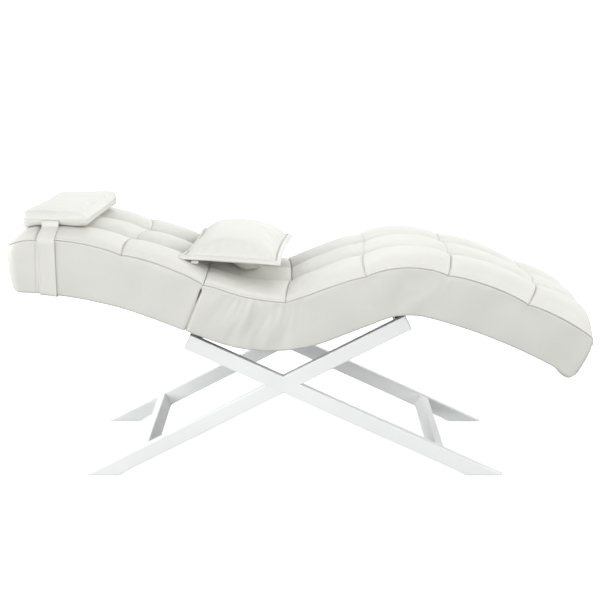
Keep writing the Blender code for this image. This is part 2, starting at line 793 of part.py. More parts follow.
def make_bolts(places, grip):
    """Hexagon bolts that screw into the last board of a grip and end just inside it."""
    head = hex_ring(BOLT_HEAD_FLATS)
    shank = round_ring(BOLT_RADIUS)
    layers = ((-BOLT_HEAD_HEIGHT - FIT, head), (-FIT, head), (-FIT, shank), (grip - BOLT_SHORTFALL, shank))
    for name, place in places.items():
        mesh = bmesh.new()
        add_loft(mesh, stack(*place, layers))
        make_object(name, mesh, STEEL, METAL_ANGLE)


def make_holes(name, places, grip):
    """Guide shapes for the holes that a set of bolts passes through."""
    ring = round_ring(BOLT_RADIUS + FIT)
    layers = ((-BOLT_HEAD_HEIGHT, ring), (grip + BOLT_HEAD_HEIGHT, ring))
    mesh = bmesh.new()
    for place in places.values():
        add_loft(mesh, stack(*place, layers))
    return make_cutter(name, mesh)


# Head pillow and strap


def waisted_outline(inset):
    """Plan of the pillow: rounded corners, and long sides that draw in between them."""
    half_length = PILLOW_LENGTH / 2 - inset
    half_width = PILLOW_WIDTH / 2 - inset
    bend = max(PILLOW_CORNER - inset, PILLOW_LEAST_CORNER)
    points = []
    for corner, (along, across) in enumerate(((1, 1), (-1, 1), (-1, -1), (1, -1))):
        for step in range(CORNER_STEPS + 1):
            turn = pi / 2 * (corner + step / CORNER_STEPS)
            points.append((along * (half_length - bend) + bend * cos(turn),
                           across * (half_width - bend) + bend * sin(turn)))
        if corner % 2:
            for share in PILLOW_SIDE_SHARES:
                place = across * (half_width - bend) * (1.0 - 2.0 * share)
                points.append((along * (half_length - PILLOW_WAIST * swell(share)), place))
        else:
            for share in PILLOW_END_SHARES:
                points.append((along * (half_length - bend) * (1.0 - 2.0 * share), across * half_width))
    return points


def pad_ridge():
    """Places along the pad under the pillow, and the highest stuffing across it at each."""
    reach = PILLOW_LENGTH / 2 + PILLOW_WIDTH / 2 * abs(sin(PILLOW_YAW))
    places = spaced(0.0, PILLOW_WIDTH / 2, RIDGE_SIDE_STEP)
    ridge = []
    for x in spaced(PILLOW_X - reach, PILLOW_X + reach, RIDGE_STEP):
        ridge.append((x, max(pad_top(x, place) for place in places)))
    return ridge


def over_ridge(ridge, x):
    """World height of a taut sheet over the ridge at one X, which clears it on the way off the head end."""
    highest = 0.0
    for left, left_height in ridge:
        if left <= x:
            highest = max(highest, left_height - (x - left) * tan(PILLOW_SLIDE))
        for right, right_height in ridge:
            if left <= x <= right and left < right:
                share = (x - left) / (right - left)
                highest = max(highest, left_height + (right_height - left_height) * share)
    return highest + PILLOW_CLEARANCE


def make_pillow(ridge, base):
    """Stuffed pillow with a crowned top and waisted sides, and an underside that follows the pad."""
    bevel = PILLOW_EDGE * BEVEL_SHARE
    body = PILLOW_HEIGHT - PILLOW_CROWN
    flat = PILLOW_LENGTH / 2 - PILLOW_FLAT
    lower = ((0.0, flat), (0.0, PILLOW_SAG), (0.0, PILLOW_EDGE), (bevel, bevel), (PILLOW_EDGE, 0.0))
    upper = ((body - PILLOW_EDGE, 0.0), (body - bevel, bevel), (body, PILLOW_EDGE), (PILLOW_HEIGHT, flat))
    turn = Matrix.Rotation(PILLOW_YAW, 3, "Z")
    middle = Vector((PILLOW_X, 0.0, 0.0))
    loops = []
    for layers, follows in ((lower, True), (upper, False)):
        for height, inset in layers:
            ring = [middle + turn @ Vector((*place, height)) for place in waisted_outline(inset)]
            for point in ring:
                point.z += over_ridge(ridge, point.x) if follows else base
            loops.append(ring)
    mesh = bmesh.new()
    add_loft(mesh, loops)
    return make_object("head_pillow", mesh, LEATHERETTE, SOFT_ANGLE)


def strap_half(x, base, side):
    """Strap's inner face in one plane across the bed, from an end of the pillow to under the pad."""
    flank = HALF_WIDTH + BAND_SWELL + STRAP_CLEARANCE
    low_station = station_at(x, lambda station: 0.0)
    low = on_pad(low_station, 0.0, 0.0).z - STRAP_UNDER_CLEARANCE
    skew = side * sin(PILLOW_YAW) * (x - PILLOW_X)
    pillow_end = (PILLOW_WIDTH / 2 + skew) / cos(PILLOW_YAW) + FIT
    half = [(pillow_end, base + STRAP_SEAT)]
    for share in SHOULDER_SHARES:
        across = pillow_end + (HALF_WIDTH - pillow_end) * share
        half.append((across, pad_top(x, side * across) + STRAP_CLEARANCE))
    half += [(flank, half[-1][1] - BAND_SWELL), (flank, low)]
    return [(side * across, height) for across, height in half]


def strap_route(x, base):
    """Places and world heights of the strap's inner face, from the pillow's left end to its right."""
    return strap_half(x, base, 1) + strap_half(x, base, -1)[::-1]


def make_strap(base):
    """Elastic band from one end of the pillow, round under the pad, to the other end."""
    lines = [STRAP_X + STRAP_WIDTH * (share - 0.5) for share in STRAP_SHARES]
    routes = [strap_route(x, base) for x in lines]
    loops = []
    for index in range(len(routes[0])):
        inner = [Vector((x, *route[index])) for x, route in zip(lines, routes)]
        steps = [strap_offset(route, index) for route in routes]
        outer = [point + Vector((0.0, *step)) for point, step in zip(inner, steps)]
        loops.append(inner + outer[::-1])
    mesh = bmesh.new()
    add_loft(mesh, loops)
    return make_object("pillow_strap", mesh, ELASTIC, METAL_ANGLE)


def strap_offset(route, index):
    """Step from the strap's inner face to its outer face at one point of its route."""
    before = Vector(route[max(index - 1, 0)])
    after = Vector(route[min(index + 1, len(route) - 1)])
    here = Vector(route[index])
    if index in (0, len(route) - 1):
        return Vector((0.0, STRAP_THICKNESS))
    ways = [(here - before).normalized(), (after - here).normalized()]
    normals = [Vector((-way.y, way.x)) for way in ways]
    middle = (normals[0] + normals[1]).normalized()
    return middle * (STRAP_THICKNESS / middle.dot(normals[0]))


# Lumbar cushion and zip


def cushion_point(along, across, top):
    """Point of the cushion's skin in its own frame. Along and across run from -1 to 1."""
    half_length = CUSHION_LENGTH / 2
    half_width = CUSHION_WIDTH / 2
    x = half_length * along * (1.0 - CUSHION_PINCH * (1.0 - across ** 2))
    y = half_width * across * (1.0 - CUSHION_PINCH * (1.0 - along ** 2))
    stuffed_along = min(1.0, abs(along) / (1.0 - CUSHION_FLANGE / half_length))
    stuffed_across = min(1.0, abs(across) / (1.0 - CUSHION_FLANGE / half_width))
    fullness = ((1.0 - stuffed_along ** 2) * (1.0 - stuffed_across ** 2)) ** CUSHION_FULLNESS
    rise = CUSHION_TOP * fullness if top else -CUSHION_BOTTOM * fullness
    return Vector((x, y, rise + (CUSHION_RIM / 2 if top else -CUSHION_RIM / 2)))


def cushion_lines(length):
    """Grid lines of the cushion from edge to edge, with one along each inner edge of its flange."""
    flange = 1.0 - CUSHION_FLANGE / (length / 2)
    half = [flange * share for share in CUSHION_SHARES] + [1.0]
    return [-line for line in reversed(half)] + [0.0] + half


def cushion_place():
    """World placement of the cushion's flange, askew on the pad and tilted with it."""
    turn = Euler((0.0, CUSHION_TILT, CUSHION_YAW)).to_matrix().to_4x4()
    level = pad_top(CUSHION_X, 0.0) + CUSHION_LIFT
    return Matrix.Translation((CUSHION_X, 0.0, level)) @ turn


def cushion_skins(place):
    """World grids of the cushion's top and underside, the underside pressed to the pad's shape."""
    upper, lower = [], []
    rows = cushion_lines(CUSHION_WIDTH)
    for along in cushion_lines(CUSHION_LENGTH):
        upper.append([place @ cushion_point(along, across, True) for across in rows])
        lower.append([place @ cushion_point(along, across, False) for across in rows])
        for over, under in zip(upper[-1], lower[-1]):
            under.z = max(under.z, pad_top(under.x, under.y) + CUSHION_CLEARANCE)
            over.z = max(over.z, under.z + CUSHION_RIM)
    return upper, lower


def zip_line():
    """Place across and height of the zip's middle, under the cushion's flange on its right side."""
    edge = -CUSHION_WIDTH / 2 * (1.0 - CUSHION_PINCH)
    return edge + ZIP_INSET, -CUSHION_RIM / 2 - FIT - ZIP_THICKNESS / 2


def make_cushion(place):
    """Knife-edge cushion with pointed corners, a flange and a groove for its zip."""
    mesh = bmesh.new()
    sheets = []
    for skin in cushion_skins(place):
        sheets.append([[mesh.verts.new(point) for point in column] for column in skin])
    for sheet in sheets:
        for left, right in zip(sheet, sheet[1:]):
            for near in range(len(left) - 1):
                mesh.faces.new((left[near], right[near], right[near + 1], left[near + 1]))
    rims = [sheet_rim(sheet) for sheet in sheets]
    bridge(mesh, rims[0], rims[1])
    cushion = make_object("lumbar_cushion", mesh, LEATHERETTE, SOFT_ANGLE)
    across, height = zip_line()
    groove = bmesh.new()
    ring = box_ring(ZIP_WIDTH + 2 * FIT, ZIP_GROOVE_DEPTH, FIT)
    middle = Vector((0.0, across, height + (ZIP_THICKNESS + FIT - ZIP_GROOVE_DEPTH) / 2))
    half = ZIP_LENGTH / 2 + FIT
    layers = ((-half, ring), (half, ring))
    add_loft(groove, stack(middle, Vector((1.0, 0.0, 0.0)), Vector((0.0, 1.0, 0.0)), layers))
    cutter = make_cutter("zip_groove", groove)
    cutter.matrix_world = place
    cut(cushion, cutter)
    return cushion


def sheet_rim(sheet):
    """Loop round the edge of one skin of the cushion."""
    first, last = sheet[0], sheet[-1]
    low_side = [column[0] for column in sheet[1:-1]]
    high_side = [column[-1] for column in sheet[1:-1]]
    return low_side[::-1] + first + high_side + last[::-1]


def make_zip(place):
    """Zip tape under the flange, with a slider and its pull near the head end."""
    across, height = zip_line()
    lengthwise = Vector((1.0, 0.0, 0.0))
    sideways = Vector((0.0, 1.0, 0.0))
    mesh = bmesh.new()
    ring = box_ring(ZIP_WIDTH, ZIP_THICKNESS, ZIP_EDGE)
    layers = ((-ZIP_LENGTH / 2, ring), (ZIP_LENGTH / 2, ring))
    add_loft(mesh, stack(Vector((0.0, across, height)), lengthwise, sideways, layers))
    make_object("zip_tape", mesh, CLOTH, METAL_ANGLE, place)
    start = -ZIP_LENGTH / 2 + SLIDER_LENGTH / 2
    slider_height = height - ZIP_THICKNESS / 2 - FIT - SLIDER_THICKNESS / 2
    carriage = place @ Matrix.Translation((start, across, slider_height))
    mesh = bmesh.new()
    ring = box_ring(SLIDER_WIDTH, SLIDER_THICKNESS, SLIDER_EDGE)
    nose = box_ring(SLIDER_NOSE, SLIDER_THICKNESS, SLIDER_EDGE)
    layers = ((-SLIDER_LENGTH / 2, nose), (0.0, ring), (SLIDER_LENGTH / 2, ring))
    add_loft(mesh, stack(Vector(), lengthwise, sideways, layers))
    make_object("zip_slider", mesh, STEEL, METAL_ANGLE, carriage)
    mesh = bmesh.new()
    ring = box_ring(PULL_WIDTH, PULL_LENGTH, PULL_CORNER)
    hang = Vector((0.0, -cos(PULL_HANG), -sin(PULL_HANG)))
    face = Vector((0.0, -sin(PULL_HANG), cos(PULL_HANG)))
    hinge = sideways * -(SLIDER_WIDTH / 2 + FIT + PULL_THICKNESS / 2 * sin(PULL_HANG))
    layers = ((-PULL_THICKNESS / 2, ring), (PULL_THICKNESS / 2, ring))
    add_loft(mesh, stack(hinge + hang * PULL_LENGTH / 2, face, lengthwise, layers))
    make_object("zip_pull", mesh, LEATHERETTE, METAL_ANGLE, carriage)


def build():
    """Make every piece of the bed."""
    for item in list(bpy.data.objects):
        bpy.data.objects.remove(item, do_unlink=True)

    long_line = bar_line(TAIL_FOOT_X, HEAD_RAIL_STATION)
    cross_line = bar_line(HEAD_FOOT_X, KNEE_RAIL_STATION)
    make_trestle("right", -1, long_line, cross_line)
    make_trestle("left", 1, long_line, cross_line)
    make_stretcher("head_stretcher", cross_line, HEAD_STRETCHER_RUN)
    make_stretcher("foot_stretcher", long_line, FOOT_STRETCHER_RUN)
    rails = [make_rail("head_rail", HEAD_RAIL_STATION), make_rail("knee_rail", KNEE_RAIL_STATION)]

    make_quilt("head", HEAD_SPAN, HEAD_STATIONS)
    make_quilt("seat", SEAT_SPAN, SEAT_STATIONS)
    for hand, side in (("right", -1), ("left", 1)):
        for prefix, span, wraps, stations in (("head", HEAD_SPAN, HEAD_WRAPS, HEAD_STATIONS),
                                              ("seat", SEAT_SPAN, SEAT_WRAPS, SEAT_STATIONS)):
            name = f"{prefix}_side_band_{hand}"
            make_side_band(name, side, stations, span[0] + wraps[0], span[1] - wraps[1])
    make_end_band("head_upper_band", HEAD_SPAN, HEAD_STATIONS, 1, HEAD_WRAPS[0])
    split_bands = [make_end_band("head_lower_band", HEAD_SPAN, HEAD_STATIONS, -1, HEAD_WRAPS[1]),
                   make_end_band("seat_upper_band", SEAT_SPAN, SEAT_STATIONS, 1, SEAT_WRAPS[0])]
    make_end_band("seat_lower_band", SEAT_SPAN, SEAT_STATIONS, -1, SEAT_WRAPS[1])
    head_boards, _ = make_core("head", HEAD_SPAN, HEAD_STATIONS, HEAD_SLATS)
    seat_boards, seat_cloth = make_core("seat", SEAT_SPAN, SEAT_STATIONS, SEAT_SLATS)
    bearers = [make_bearer("seat_head_bearer", HEAD_RAIL_STATION),
               make_bearer("seat_knee_bearer", KNEE_RAIL_STATION)]

    frame_grip = TUBE_FACE + CORE_BOTTOM + BEARER_HEIGHT
    frame_places = frame_bolt_places()
    make_bolts(frame_places, frame_grip)
    frame_holes = make_holes("frame_bolt_holes", frame_places, frame_grip)
    for item in rails + bearers + [seat_cloth]:
        cut(item, frame_holes)

    join_grip = 2 * (BOARD + FIT + BAND_THICKNESS) + SPLIT_GAP
    join_places = join_bolt_places()
    make_bolts(join_places, join_grip)
    join_holes = make_holes("join_bolt_holes", join_places, join_grip)
    for item in split_bands + [head_boards["lower"], seat_boards["upper"]]:
        cut(item, join_holes)

    ridge = pad_ridge()
    base = over_ridge(ridge, PILLOW_X)
    make_pillow(ridge, base)
    make_strap(base)
    place = cushion_place()
    make_cushion(place)
    make_zip(place)


build()
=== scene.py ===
"""Finished look of the wave-shaped eyelash treatment bed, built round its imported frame.

Metres, +Z up. The head end is at -X, the client's right side at -Y, and the floor at z = 0.
Places on the pad are given by a station along its underside from the head end, a place across it,
and a height off the underside.
"""

import json
from math import cos, pi, radians, sin, tan

import bmesh
import bpy
import numpy as np
from mathutils import Euler, Matrix, Vector


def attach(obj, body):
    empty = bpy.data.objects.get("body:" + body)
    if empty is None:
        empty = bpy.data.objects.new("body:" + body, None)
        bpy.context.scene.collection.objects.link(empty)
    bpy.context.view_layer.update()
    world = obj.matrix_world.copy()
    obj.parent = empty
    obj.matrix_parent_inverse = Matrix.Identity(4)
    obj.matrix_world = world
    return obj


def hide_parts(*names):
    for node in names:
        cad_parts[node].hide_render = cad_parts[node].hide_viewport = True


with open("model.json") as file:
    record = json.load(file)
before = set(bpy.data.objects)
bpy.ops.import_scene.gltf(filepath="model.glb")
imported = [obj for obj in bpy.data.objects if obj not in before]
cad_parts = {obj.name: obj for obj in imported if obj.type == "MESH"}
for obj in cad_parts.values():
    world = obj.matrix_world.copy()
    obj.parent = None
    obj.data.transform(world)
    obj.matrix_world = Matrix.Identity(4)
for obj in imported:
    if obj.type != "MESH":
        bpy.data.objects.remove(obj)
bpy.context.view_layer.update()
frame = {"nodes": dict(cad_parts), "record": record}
NODES = frame["nodes"]

# Underside of the pad: height and slope at the head end, then the length and turn of each arc
HEAD_HEIGHT = 0.6254
HEAD_SLOPE = radians(-0.8)
SPINE = (
    (0.440, radians(-20.5)),
    (0.202, 0.0),
    (0.400, radians(43.3)),
    (0.166, 0.0),
    (0.150, radians(-36.5)),
    (0.501, radians(-16.5)),
)
PAD_LENGTH = sum(length for length, turn in SPINE)
HEAD_LEAN = 0.014
LEAN_RUN = 0.120

# Fineness of the searches along the pad, and the smallest difference that counts
STATION_STEP = 0.002
SOLVE_STEPS = 36
TOLERANCE = 1e-6

# Section of the pad and its quilting
HALF_WIDTH = 0.300
HALF_COLUMN = 0.100
HEAD_SIDE_HEIGHT = 0.171
FOOT_SIDE_HEIGHT = 0.139
HEAD_DROP = 0.024
HEAD_DROP_RUN = 0.085
HEAD_PANEL_LENGTH = 0.091
PANEL_LENGTH = 0.271
HEAD_PANELS = 2
SEAT_PANELS = 4
PANEL_FULLNESS = 0.6
QUILT_EDGE = 0.006
HEAD_CROWN = 0.016
FOOT_CROWN = 0.046
CROWN_POWER = 6
CROWN_END_RUN = 0.085
CROWN_END_POWER = 3
CHANNEL_RISE = 0.011
SEAM_RISE = 0.006
PANEL_RISE = 0.022
SPLIT_GAP = 0.0012
SEAM_EASE = np.array((0.0110, 0.0090))
# Bow of each cross seam towards the foot in the middle of the pad, and how much more its left side has
SEAM_BOW = np.array(((0.0, 0.0), (0.0, 0.0), (0.024, 0.014), (0.0, 0.0), (0.035, 0.0), (0.012, 0.004),
                     (0.011, -0.002), (0.038, -0.002), (0.0, 0.0)))
# How tightly each cross seam is drawn down in its right, middle and left column
SEAM_DRAW = np.array(((0.6, 0.6, 0.6), (0.85, 0.3, 0.3), (0.2, 0.2, 0.2), (0.75, 1.0, 1.0), (0.7, 0.25, 0.3),
                      (0.9, 0.25, 0.3), (1.0, 0.35, 0.35)))

# Sewing of the quilt: topstitched edge, seam creases, channels and tufts
STITCH_INSET = 0.008
STITCH_VALLEY = 0.0042
STITCH_SPREAD = 0.0052
CREASE_DEPTH = 0.0085
CREASE_SPREAD = 0.0021
CHANNEL_DEPTH = 0.0045
CHANNEL_SPREAD = 0.0026
COLUMN_DROP = {"head": 0.0180, "seat": 0.0100}
COLUMN_DROP_RUN = 0.090
DIP_DROP = 0.026
DIP_PLACE = 0.050
DIP_SPREAD = 0.150
TUFT_DEPTH = {"head": 0.0110, "seat": 0.0060}
TUFT_SPREAD = 0.015

# Puckers and folds beside the sewing, which leave a bare strip along the thread, and the uneven stuffing.
# Waves, here and below, are a run, a wander, and the scale and seed of the noise that they wander with.
PUCKER = 0.0009
PUCKER_REACH = 0.020
SEAM_WAVES = (0.0042, 5.0, 0.09, 3)
SEAM_BARE = 0.004
CHANNEL_PUCKER = 0.6
CHANNEL_WAVES = (0.0046, 5.0, 0.08, 5)
CHANNEL_BARE = 0.005
EDGE_PUCKER = 0.5
EDGE_PUCKER_REACH = 0.014
TUFT_FOLD = {"head": 0.0030, "seat": 0.0018}
TUFT_FOLD_REACH = 0.026
TUFT_FOLDS = 8.0
TUFT_BARE = 0.008
UNEVEN = 0.0011
UNEVEN_SCALE = 0.13
FINE_UNEVEN = 0.5
FINE_UNEVEN_SCALE = 0.05
CALM_RUN = 0.02
RIPPLE_SPREAD = (0.7, 1.5)

# Outline of the covers: corners in plan, the split between the sections and the rounded foot
HEAD_CORNER = 0.026
FOOT_CORNER = 0.011
SPLIT_CORNER_TOP = 0.0015
SPLIT_CORNER = 0.0080
SPLIT_SLANT = 0.0015
SPLIT_SLANT_RUN = 0.060
SPLIT_OPENING = 0.0025
SPLIT_TOUCH = 0.9
SPLIT_TOUCH_RANGE = (0.012, 0.045)
SPLIT_REACH = 0.01
FOOT_TURN = 0.015
FOOT_TIP = 0.022
FOOT_ROUND = 0.015
FOOT_LIP = 0.0115
FOOT_LIP_RUN = 0.062
FOOT_BULGE = 0.013
FOOT_FLARE = 0.013
FOOT_STRETCH_RUN = 0.060
FOOT_WELT_STRETCH = 0.006

# Side bands: reach and rise of the welt's rows, swell, sewn joints, and the fold under the pad, whose rows
# are a share of its width and a height
WELT_ROWS = ((0.0012, 0.0036), (0.0015, 0.0023), (0.0008, 0.0011), (-0.0022, 0.0006), (-0.0060, 0.0),
             (-0.0022, -0.0006), (0.0004, -0.0012), (0.0011, -0.0026), (0.0014, -0.0046))
WELT_FADE = 0.9
WELT_RANGE = (0.009, 0.022)
BAND_SWELL = 0.0018
BOTTOM_ROUND = 0.007
END_FULLNESS = 0.55
HEAD_BULGE = 0.008
HEAD_SEAM = 0.072
FOOT_SEAM = 0.030
BAND_SEAM_DEPTH = 0.0016
BAND_SEAM_SPREAD = 0.0014
BAND_LIP = 0.0007
BAND_LIP_PLACE = 0.0045
BAND_LIP_SPREAD = 0.003
FOLD_UNDER = 0.028
UNDER_LEVEL = 0.0010
UNDER_ROWS = ((0.5, 0.0006), (1.0, UNDER_LEVEL))

# Folds of the side bands. Their slack is a station, a spread and a strength, in the dip and at the knee.
BAND_SLACK = ((0.800, 0.150, 1.0), (1.285, 0.090, 0.55))
BAND_CALM_RUN = 0.006
FOLD_DEPTH = 0.0019
FOLD_WAVES = (0.0058, 4.0, 0.16, 21)
FOLD_SLANT = 0.35
FOLD_FADE = 0.070
BROAD_DEPTH = 0.0024
BROAD_SCALE = 0.060
BROAD_STRETCH = 0.35
CUSP_DEPTH = 0.0010
CUSP_WAVES = (0.0019, 2.0, 0.05, 25)
CUSP_REACH = 0.016
CUSP_FADE = 0.020
BAND_UNEVEN = 0.0015
BAND_UNEVEN_SCALE = 0.17

# Meshes of the covers: rows of points and their insets from seams, edges and corners
SEAM_INSETS = (0.0, 0.0012, 0.0026, 0.0045, 0.007, 0.0105, 0.015, 0.021, 0.028)
EDGE_INSETS = (0.0, 0.0016, 0.0034, 0.0054, 0.0074, 0.0094, 0.012, 0.016, 0.022, 0.030)
CORNER_INSETS = (0.0, 0.0003, 0.0010, 0.0020, 0.0034, 0.0052, 0.0080, 0.0125, 0.0180, 0.0260, 0.0340)
END_INSETS = sorted(set(SEAM_INSETS) | set(CORNER_INSETS))
GRID_STEP = 0.007
BAND_ROWS = 20
ROUND_ROWS = 5

# Stitches: a spindle's rings as shares of its length and radius, and the pad's topstitching
STITCH_RINGS = ((-0.5, 0.35), (-0.25, 1.0), (0.25, 1.0), (0.5, 0.35))
STITCH_SIDES = 6
STITCH_LENGTH = 0.0034
STITCH_RADIUS = 0.00042
STITCH_PITCH = 0.0050
STITCH_PROUD = 0.0001
STITCH_END_CLEARANCE = 0.016
STITCH_SPLIT_CLEARANCE = 0.004
STITCH_SIDE_SAMPLES = 900
STITCH_END_SAMPLES = 400

# Dust cloth under the pad
CLOTH_INSET = 0.016
CLOTH_STEP = 0.012
CLOTH_COLUMNS = 48
CLOTH_LEVEL = -0.00035
CLOTH_UNEVEN = 0.00015
CLOTH_UNEVEN_SCALE = 0.05

# Stuffing by cloth simulation. The pillow's and the cushion's are a pressure, a greatest shift and a slack.
STUFFING_STEPS = 20
STUFFING = {
    "quality": 6,
    "mass": 0.25,
    "tension_stiffness": 40.0,
    "compression_stiffness": 20.0,
    "shear_stiffness": 12.0,
    "bending_stiffness": 0.6,
    "use_pressure": True,
}
PILLOW_STUFFING = (1.6, 0.004, 0.006)
CUSHION_STUFFING = (4.0, 0.010, 0.020)

# Head pillow
HEAD_END = -0.9282078
PILLOW_X = HEAD_END + 0.1571
PILLOW_LENGTH = 0.202
PILLOW_WIDTH = 0.450
PILLOW_HEIGHT = 0.046
PILLOW_YAW = radians(-3.7)
PILLOW_CORNER = 0.016
PILLOW_LEAST_CORNER = 0.004
PILLOW_EAR = 0.012
PILLOW_BOW = 0.006
PILLOW_WAIST = 0.003
PILLOW_END_POWER = 4
PILLOW_LIFT = 0.0045
PILLOW_HEAD_RISE = 0.003
PILLOW_GAP = 0.006
PILLOW_GAP_RANGE = (0.5, 1.0)
PILLOW_TUCK = 0.009
PILLOW_LEAN = 0.016
PILLOW_LEAN_SHARE = 0.65
PILLOW_LEAN_SKEW = 0.35
PILLOW_SLIDE = radians(4.5)
PILLOW_CROWN = 0.006
PILLOW_CROWN_POWER = 3
PILLOW_BODY = PILLOW_HEIGHT - PILLOW_CROWN
PILLOW_ROUND = 0.010
PILLOW_UNDER_ROUND = 0.012
PILLOW_UNDER_INSET = 0.0006
PILLOW_SEAM = ((-0.0004, 0.0050), (-0.0012, 0.0022), (0.0030, 0.0), (0.0014, -0.0018), (0.0016, -0.0034))
PILLOW_SEAT = 0.004
PILLOW_CLEARANCE = 0.0012
PILLOW_UNEVEN = 0.0010
PILLOW_UNEVEN_SCALE = 0.09
PILLOW_GATHER = 0.0009
PILLOW_GATHER_RUN = 0.0016
PILLOW_GATHER_REACH = 0.042
PILLOW_GATHER_HEIGHT = 0.010
PILLOW_GATHER_SQUASH = 0.8
PILLOW_TURNS = 6
PILLOW_ROWS = 37
PILLOW_COLUMNS = 75
PILLOW_PACKING = 0.92
RIDGE_MARGIN = 0.002
RIDGE_ROWS = 21
RIDGE_COLUMNS = 11

# Strap of the pillow
STRAP_X = HEAD_END + 0.1231
STRAP_WIDTH = 0.054
STRAP_SEAT = 0.018
STRAP_THICKNESS = 0.0016
STRAP_CLEARANCE = 0.0016
STRAP_FLANK = 0.0046
STRAP_SLACK = 0.004
STRAP_SLACK_RANGE = (0.1, 0.5)
STRAP_UNDER_CLEARANCE = 0.0025
STRAP_TURN = 0.007
STRAP_TURN_STEPS = 5
STRAP_PILLOW_GAP = 0.0004
STRAP_BEND_REACH = 0.0012
STRAP_BEND_SHARE = 0.6
STRAP_SHOULDER_START = 0.004
STRAP_SHOULDER_END = 0.003
STRAP_SHOULDER_ROWS = 16
STRAP_SIDE_DROP = 0.006
STRAP_SIDE_ROWS = 26
STRAP_UNDER_INSET = 0.02
STRAP_UNDER_ROWS = 14
STRAP_SEARCH = 0.4
STRAP_SEARCH_COUNT = 801
STRAP_SHARES = np.array((-0.5, -0.485, -0.45, -0.425, -0.405, -0.37, -0.2, 0.0, 0.2, 0.37, 0.405, 0.425, 0.45,
                         0.485, 0.5))
STRAP_EDGE_THIN = 0.55
STRAP_EDGE_SPREAD = 0.0006
HEM_RISE = 0.0004
HEM_RANGE = (0.0215, 0.0235)
HEM_SEAM = 0.0225
HEM_SEAM_DEPTH = 0.0006
HEM_SEAM_SPREAD = 0.0007
HEM_COLUMNS = (3, len(STRAP_SHARES) - 4)
HEM_STITCH_PITCH = 0.0042
HEM_STITCH_LENGTH = 0.0030
HEM_STITCH_RADIUS = 0.00035
THREAD_PROUD = 0.0002

# Lumbar cushion
CUSHION_X = HEAD_END + 0.7091
CUSHION_LENGTH = 0.326
CUSHION_WIDTH = 0.500
CUSHION_TOP = 0.078
CUSHION_BOTTOM = 0.070
CUSHION_RIM = 0.004
CUSHION_RIM_ROUND = 0.0012
CUSHION_PINCH = 0.060
CUSHION_FULLNESS = 0.5
CUSHION_LIFT = 0.0560
CUSHION_CLEARANCE = 0.0018
CUSHION_PRESSED = 0.0012
CUSHION_TILT = radians(3.0)
CUSHION_YAW = radians(-4.0)
CUSHION_START = 0.93
CUSHION_UNDER = 5.5
CUSHION_UNDER_FOOT = 3.6
CUSHION_UNDER_RANGE = (-0.3, 0.5)
CUSHION_BELLY = 0.30
CUSHION_STEP = 0.0062
CUSHION_PACKING = 0.8

# Flange of the cushion and the gathers along it. Places on it are shares of its width from the outer edge.
CUSHION_FLANGE = 0.017
FLANGE_LINES = np.array((0.97, 0.92, 0.86, 0.79, 0.70, 0.5, 0.25, 0.0))
FLANGE_RISE = 0.008
FLANGE_RISE_SHARE = 0.7
FLANGE_SEAM = 0.0075
FLANGE_SEAM_SHARE = 0.95
FLANGE_SEAM_SPREAD = 0.0024
FLANGE_SEAM_BELOW = 0.3
FLANGE_PUFF = 0.0024
FLANGE_PUFF_SHARE = 0.4
FLANGE_PUFF_SPREAD = 0.35
FLANGE_STITCH_SHARE = 0.8
FLANGE_STITCH_PITCH = 0.0046
FLANGE_SAMPLES = 300
GATHER = 0.0014
GATHER_BELOW = 0.5
GATHER_SEWN = 0.010
GATHER_STRETCH = 0.1
SIDE_GATHER_WAVES = (0.0058, 4.0, 0.11, 51)
SIDE_GATHER_FADE = 0.030
END_GATHER = 0.7
END_GATHER_WAVES = (0.0062, 4.0, 0.12, 53)
END_GATHER_FADE = 0.024

# Welds of the frame: rippled beads round the cross tubes, and ground joints between the bars
WELD_RADIUS = 0.0022
WELD_STEP = 0.0012
WELD_SIDES = 8
WELD_RIPPLE = 0.16
WELD_RIPPLE_TURN = 1.25
RIM_DEPTH = 0.0005
JOINT_WIDTH = 0.0034
JOINT_INSET = 0.0050
JOINT_LAP = 0.0006
JOINT_PROUD = 0.00004
SIDE_VIEW = np.array(((1.0, 0.0), (0.0, 0.0), (0.0, 1.0)))
BOX_FACES = ((0, 1, 2, 3), (7, 6, 5, 4), (0, 4, 5, 1), (1, 5, 6, 2), (2, 6, 7, 3), (3, 7, 4, 0))

# Camera that took the view, fitted to the frame and the pad
CAMERA_PLACE = (-0.0121, -3.9817, 1.515)
CAMERA_TILT = radians(76.07)
CAMERA_LENS = 72.0
SENSOR = 36.0

# Studio: each light's place, aim, size and power, the light tent's brightness by height, and the floor
LIGHTS = {
    "front": ((-1.5, -4.4, 0.7), (-0.3, 0.0, 0.3), (2.4, 1.0), 49.0),
    "over_seat": ((0.6, -0.3, 2.8), (0.5, 0.0, 0.7), (1.6, 1.2), 9.0),
    "head_end": ((-3.6, -0.3, 1.0), (-0.9, 0.0, 0.65), (1.2, 1.2), 42.0),
    "foot_end": ((2.6, -0.4, 2.2), (0.7, 0.0, 0.6), (1.6, 1.6), 14.0),
    "behind": ((0.0, 3.0, 3.4), (0.0, 0.0, 0.6), (3.2, 1.6), 34.0),
}
TENT_STOPS = ((0.0, 0.06), (1.0, 0.0), (0.46, 0.08), (0.58, 1.0))
TENT_STRENGTH = 2.12
WHITE = (1.0, 1.0, 1.0, 1.0)
FLOOR_FRONT = -9.0
FLOOR_BACK = 3.0
FLOOR_HALF_WIDTH = 14.0
FLOOR_BEND = 2.5
FLOOR_TOP = 8.0
FLOOR_TURNS = np.linspace(0.1, pi / 2, 12)


# Shape of the pad


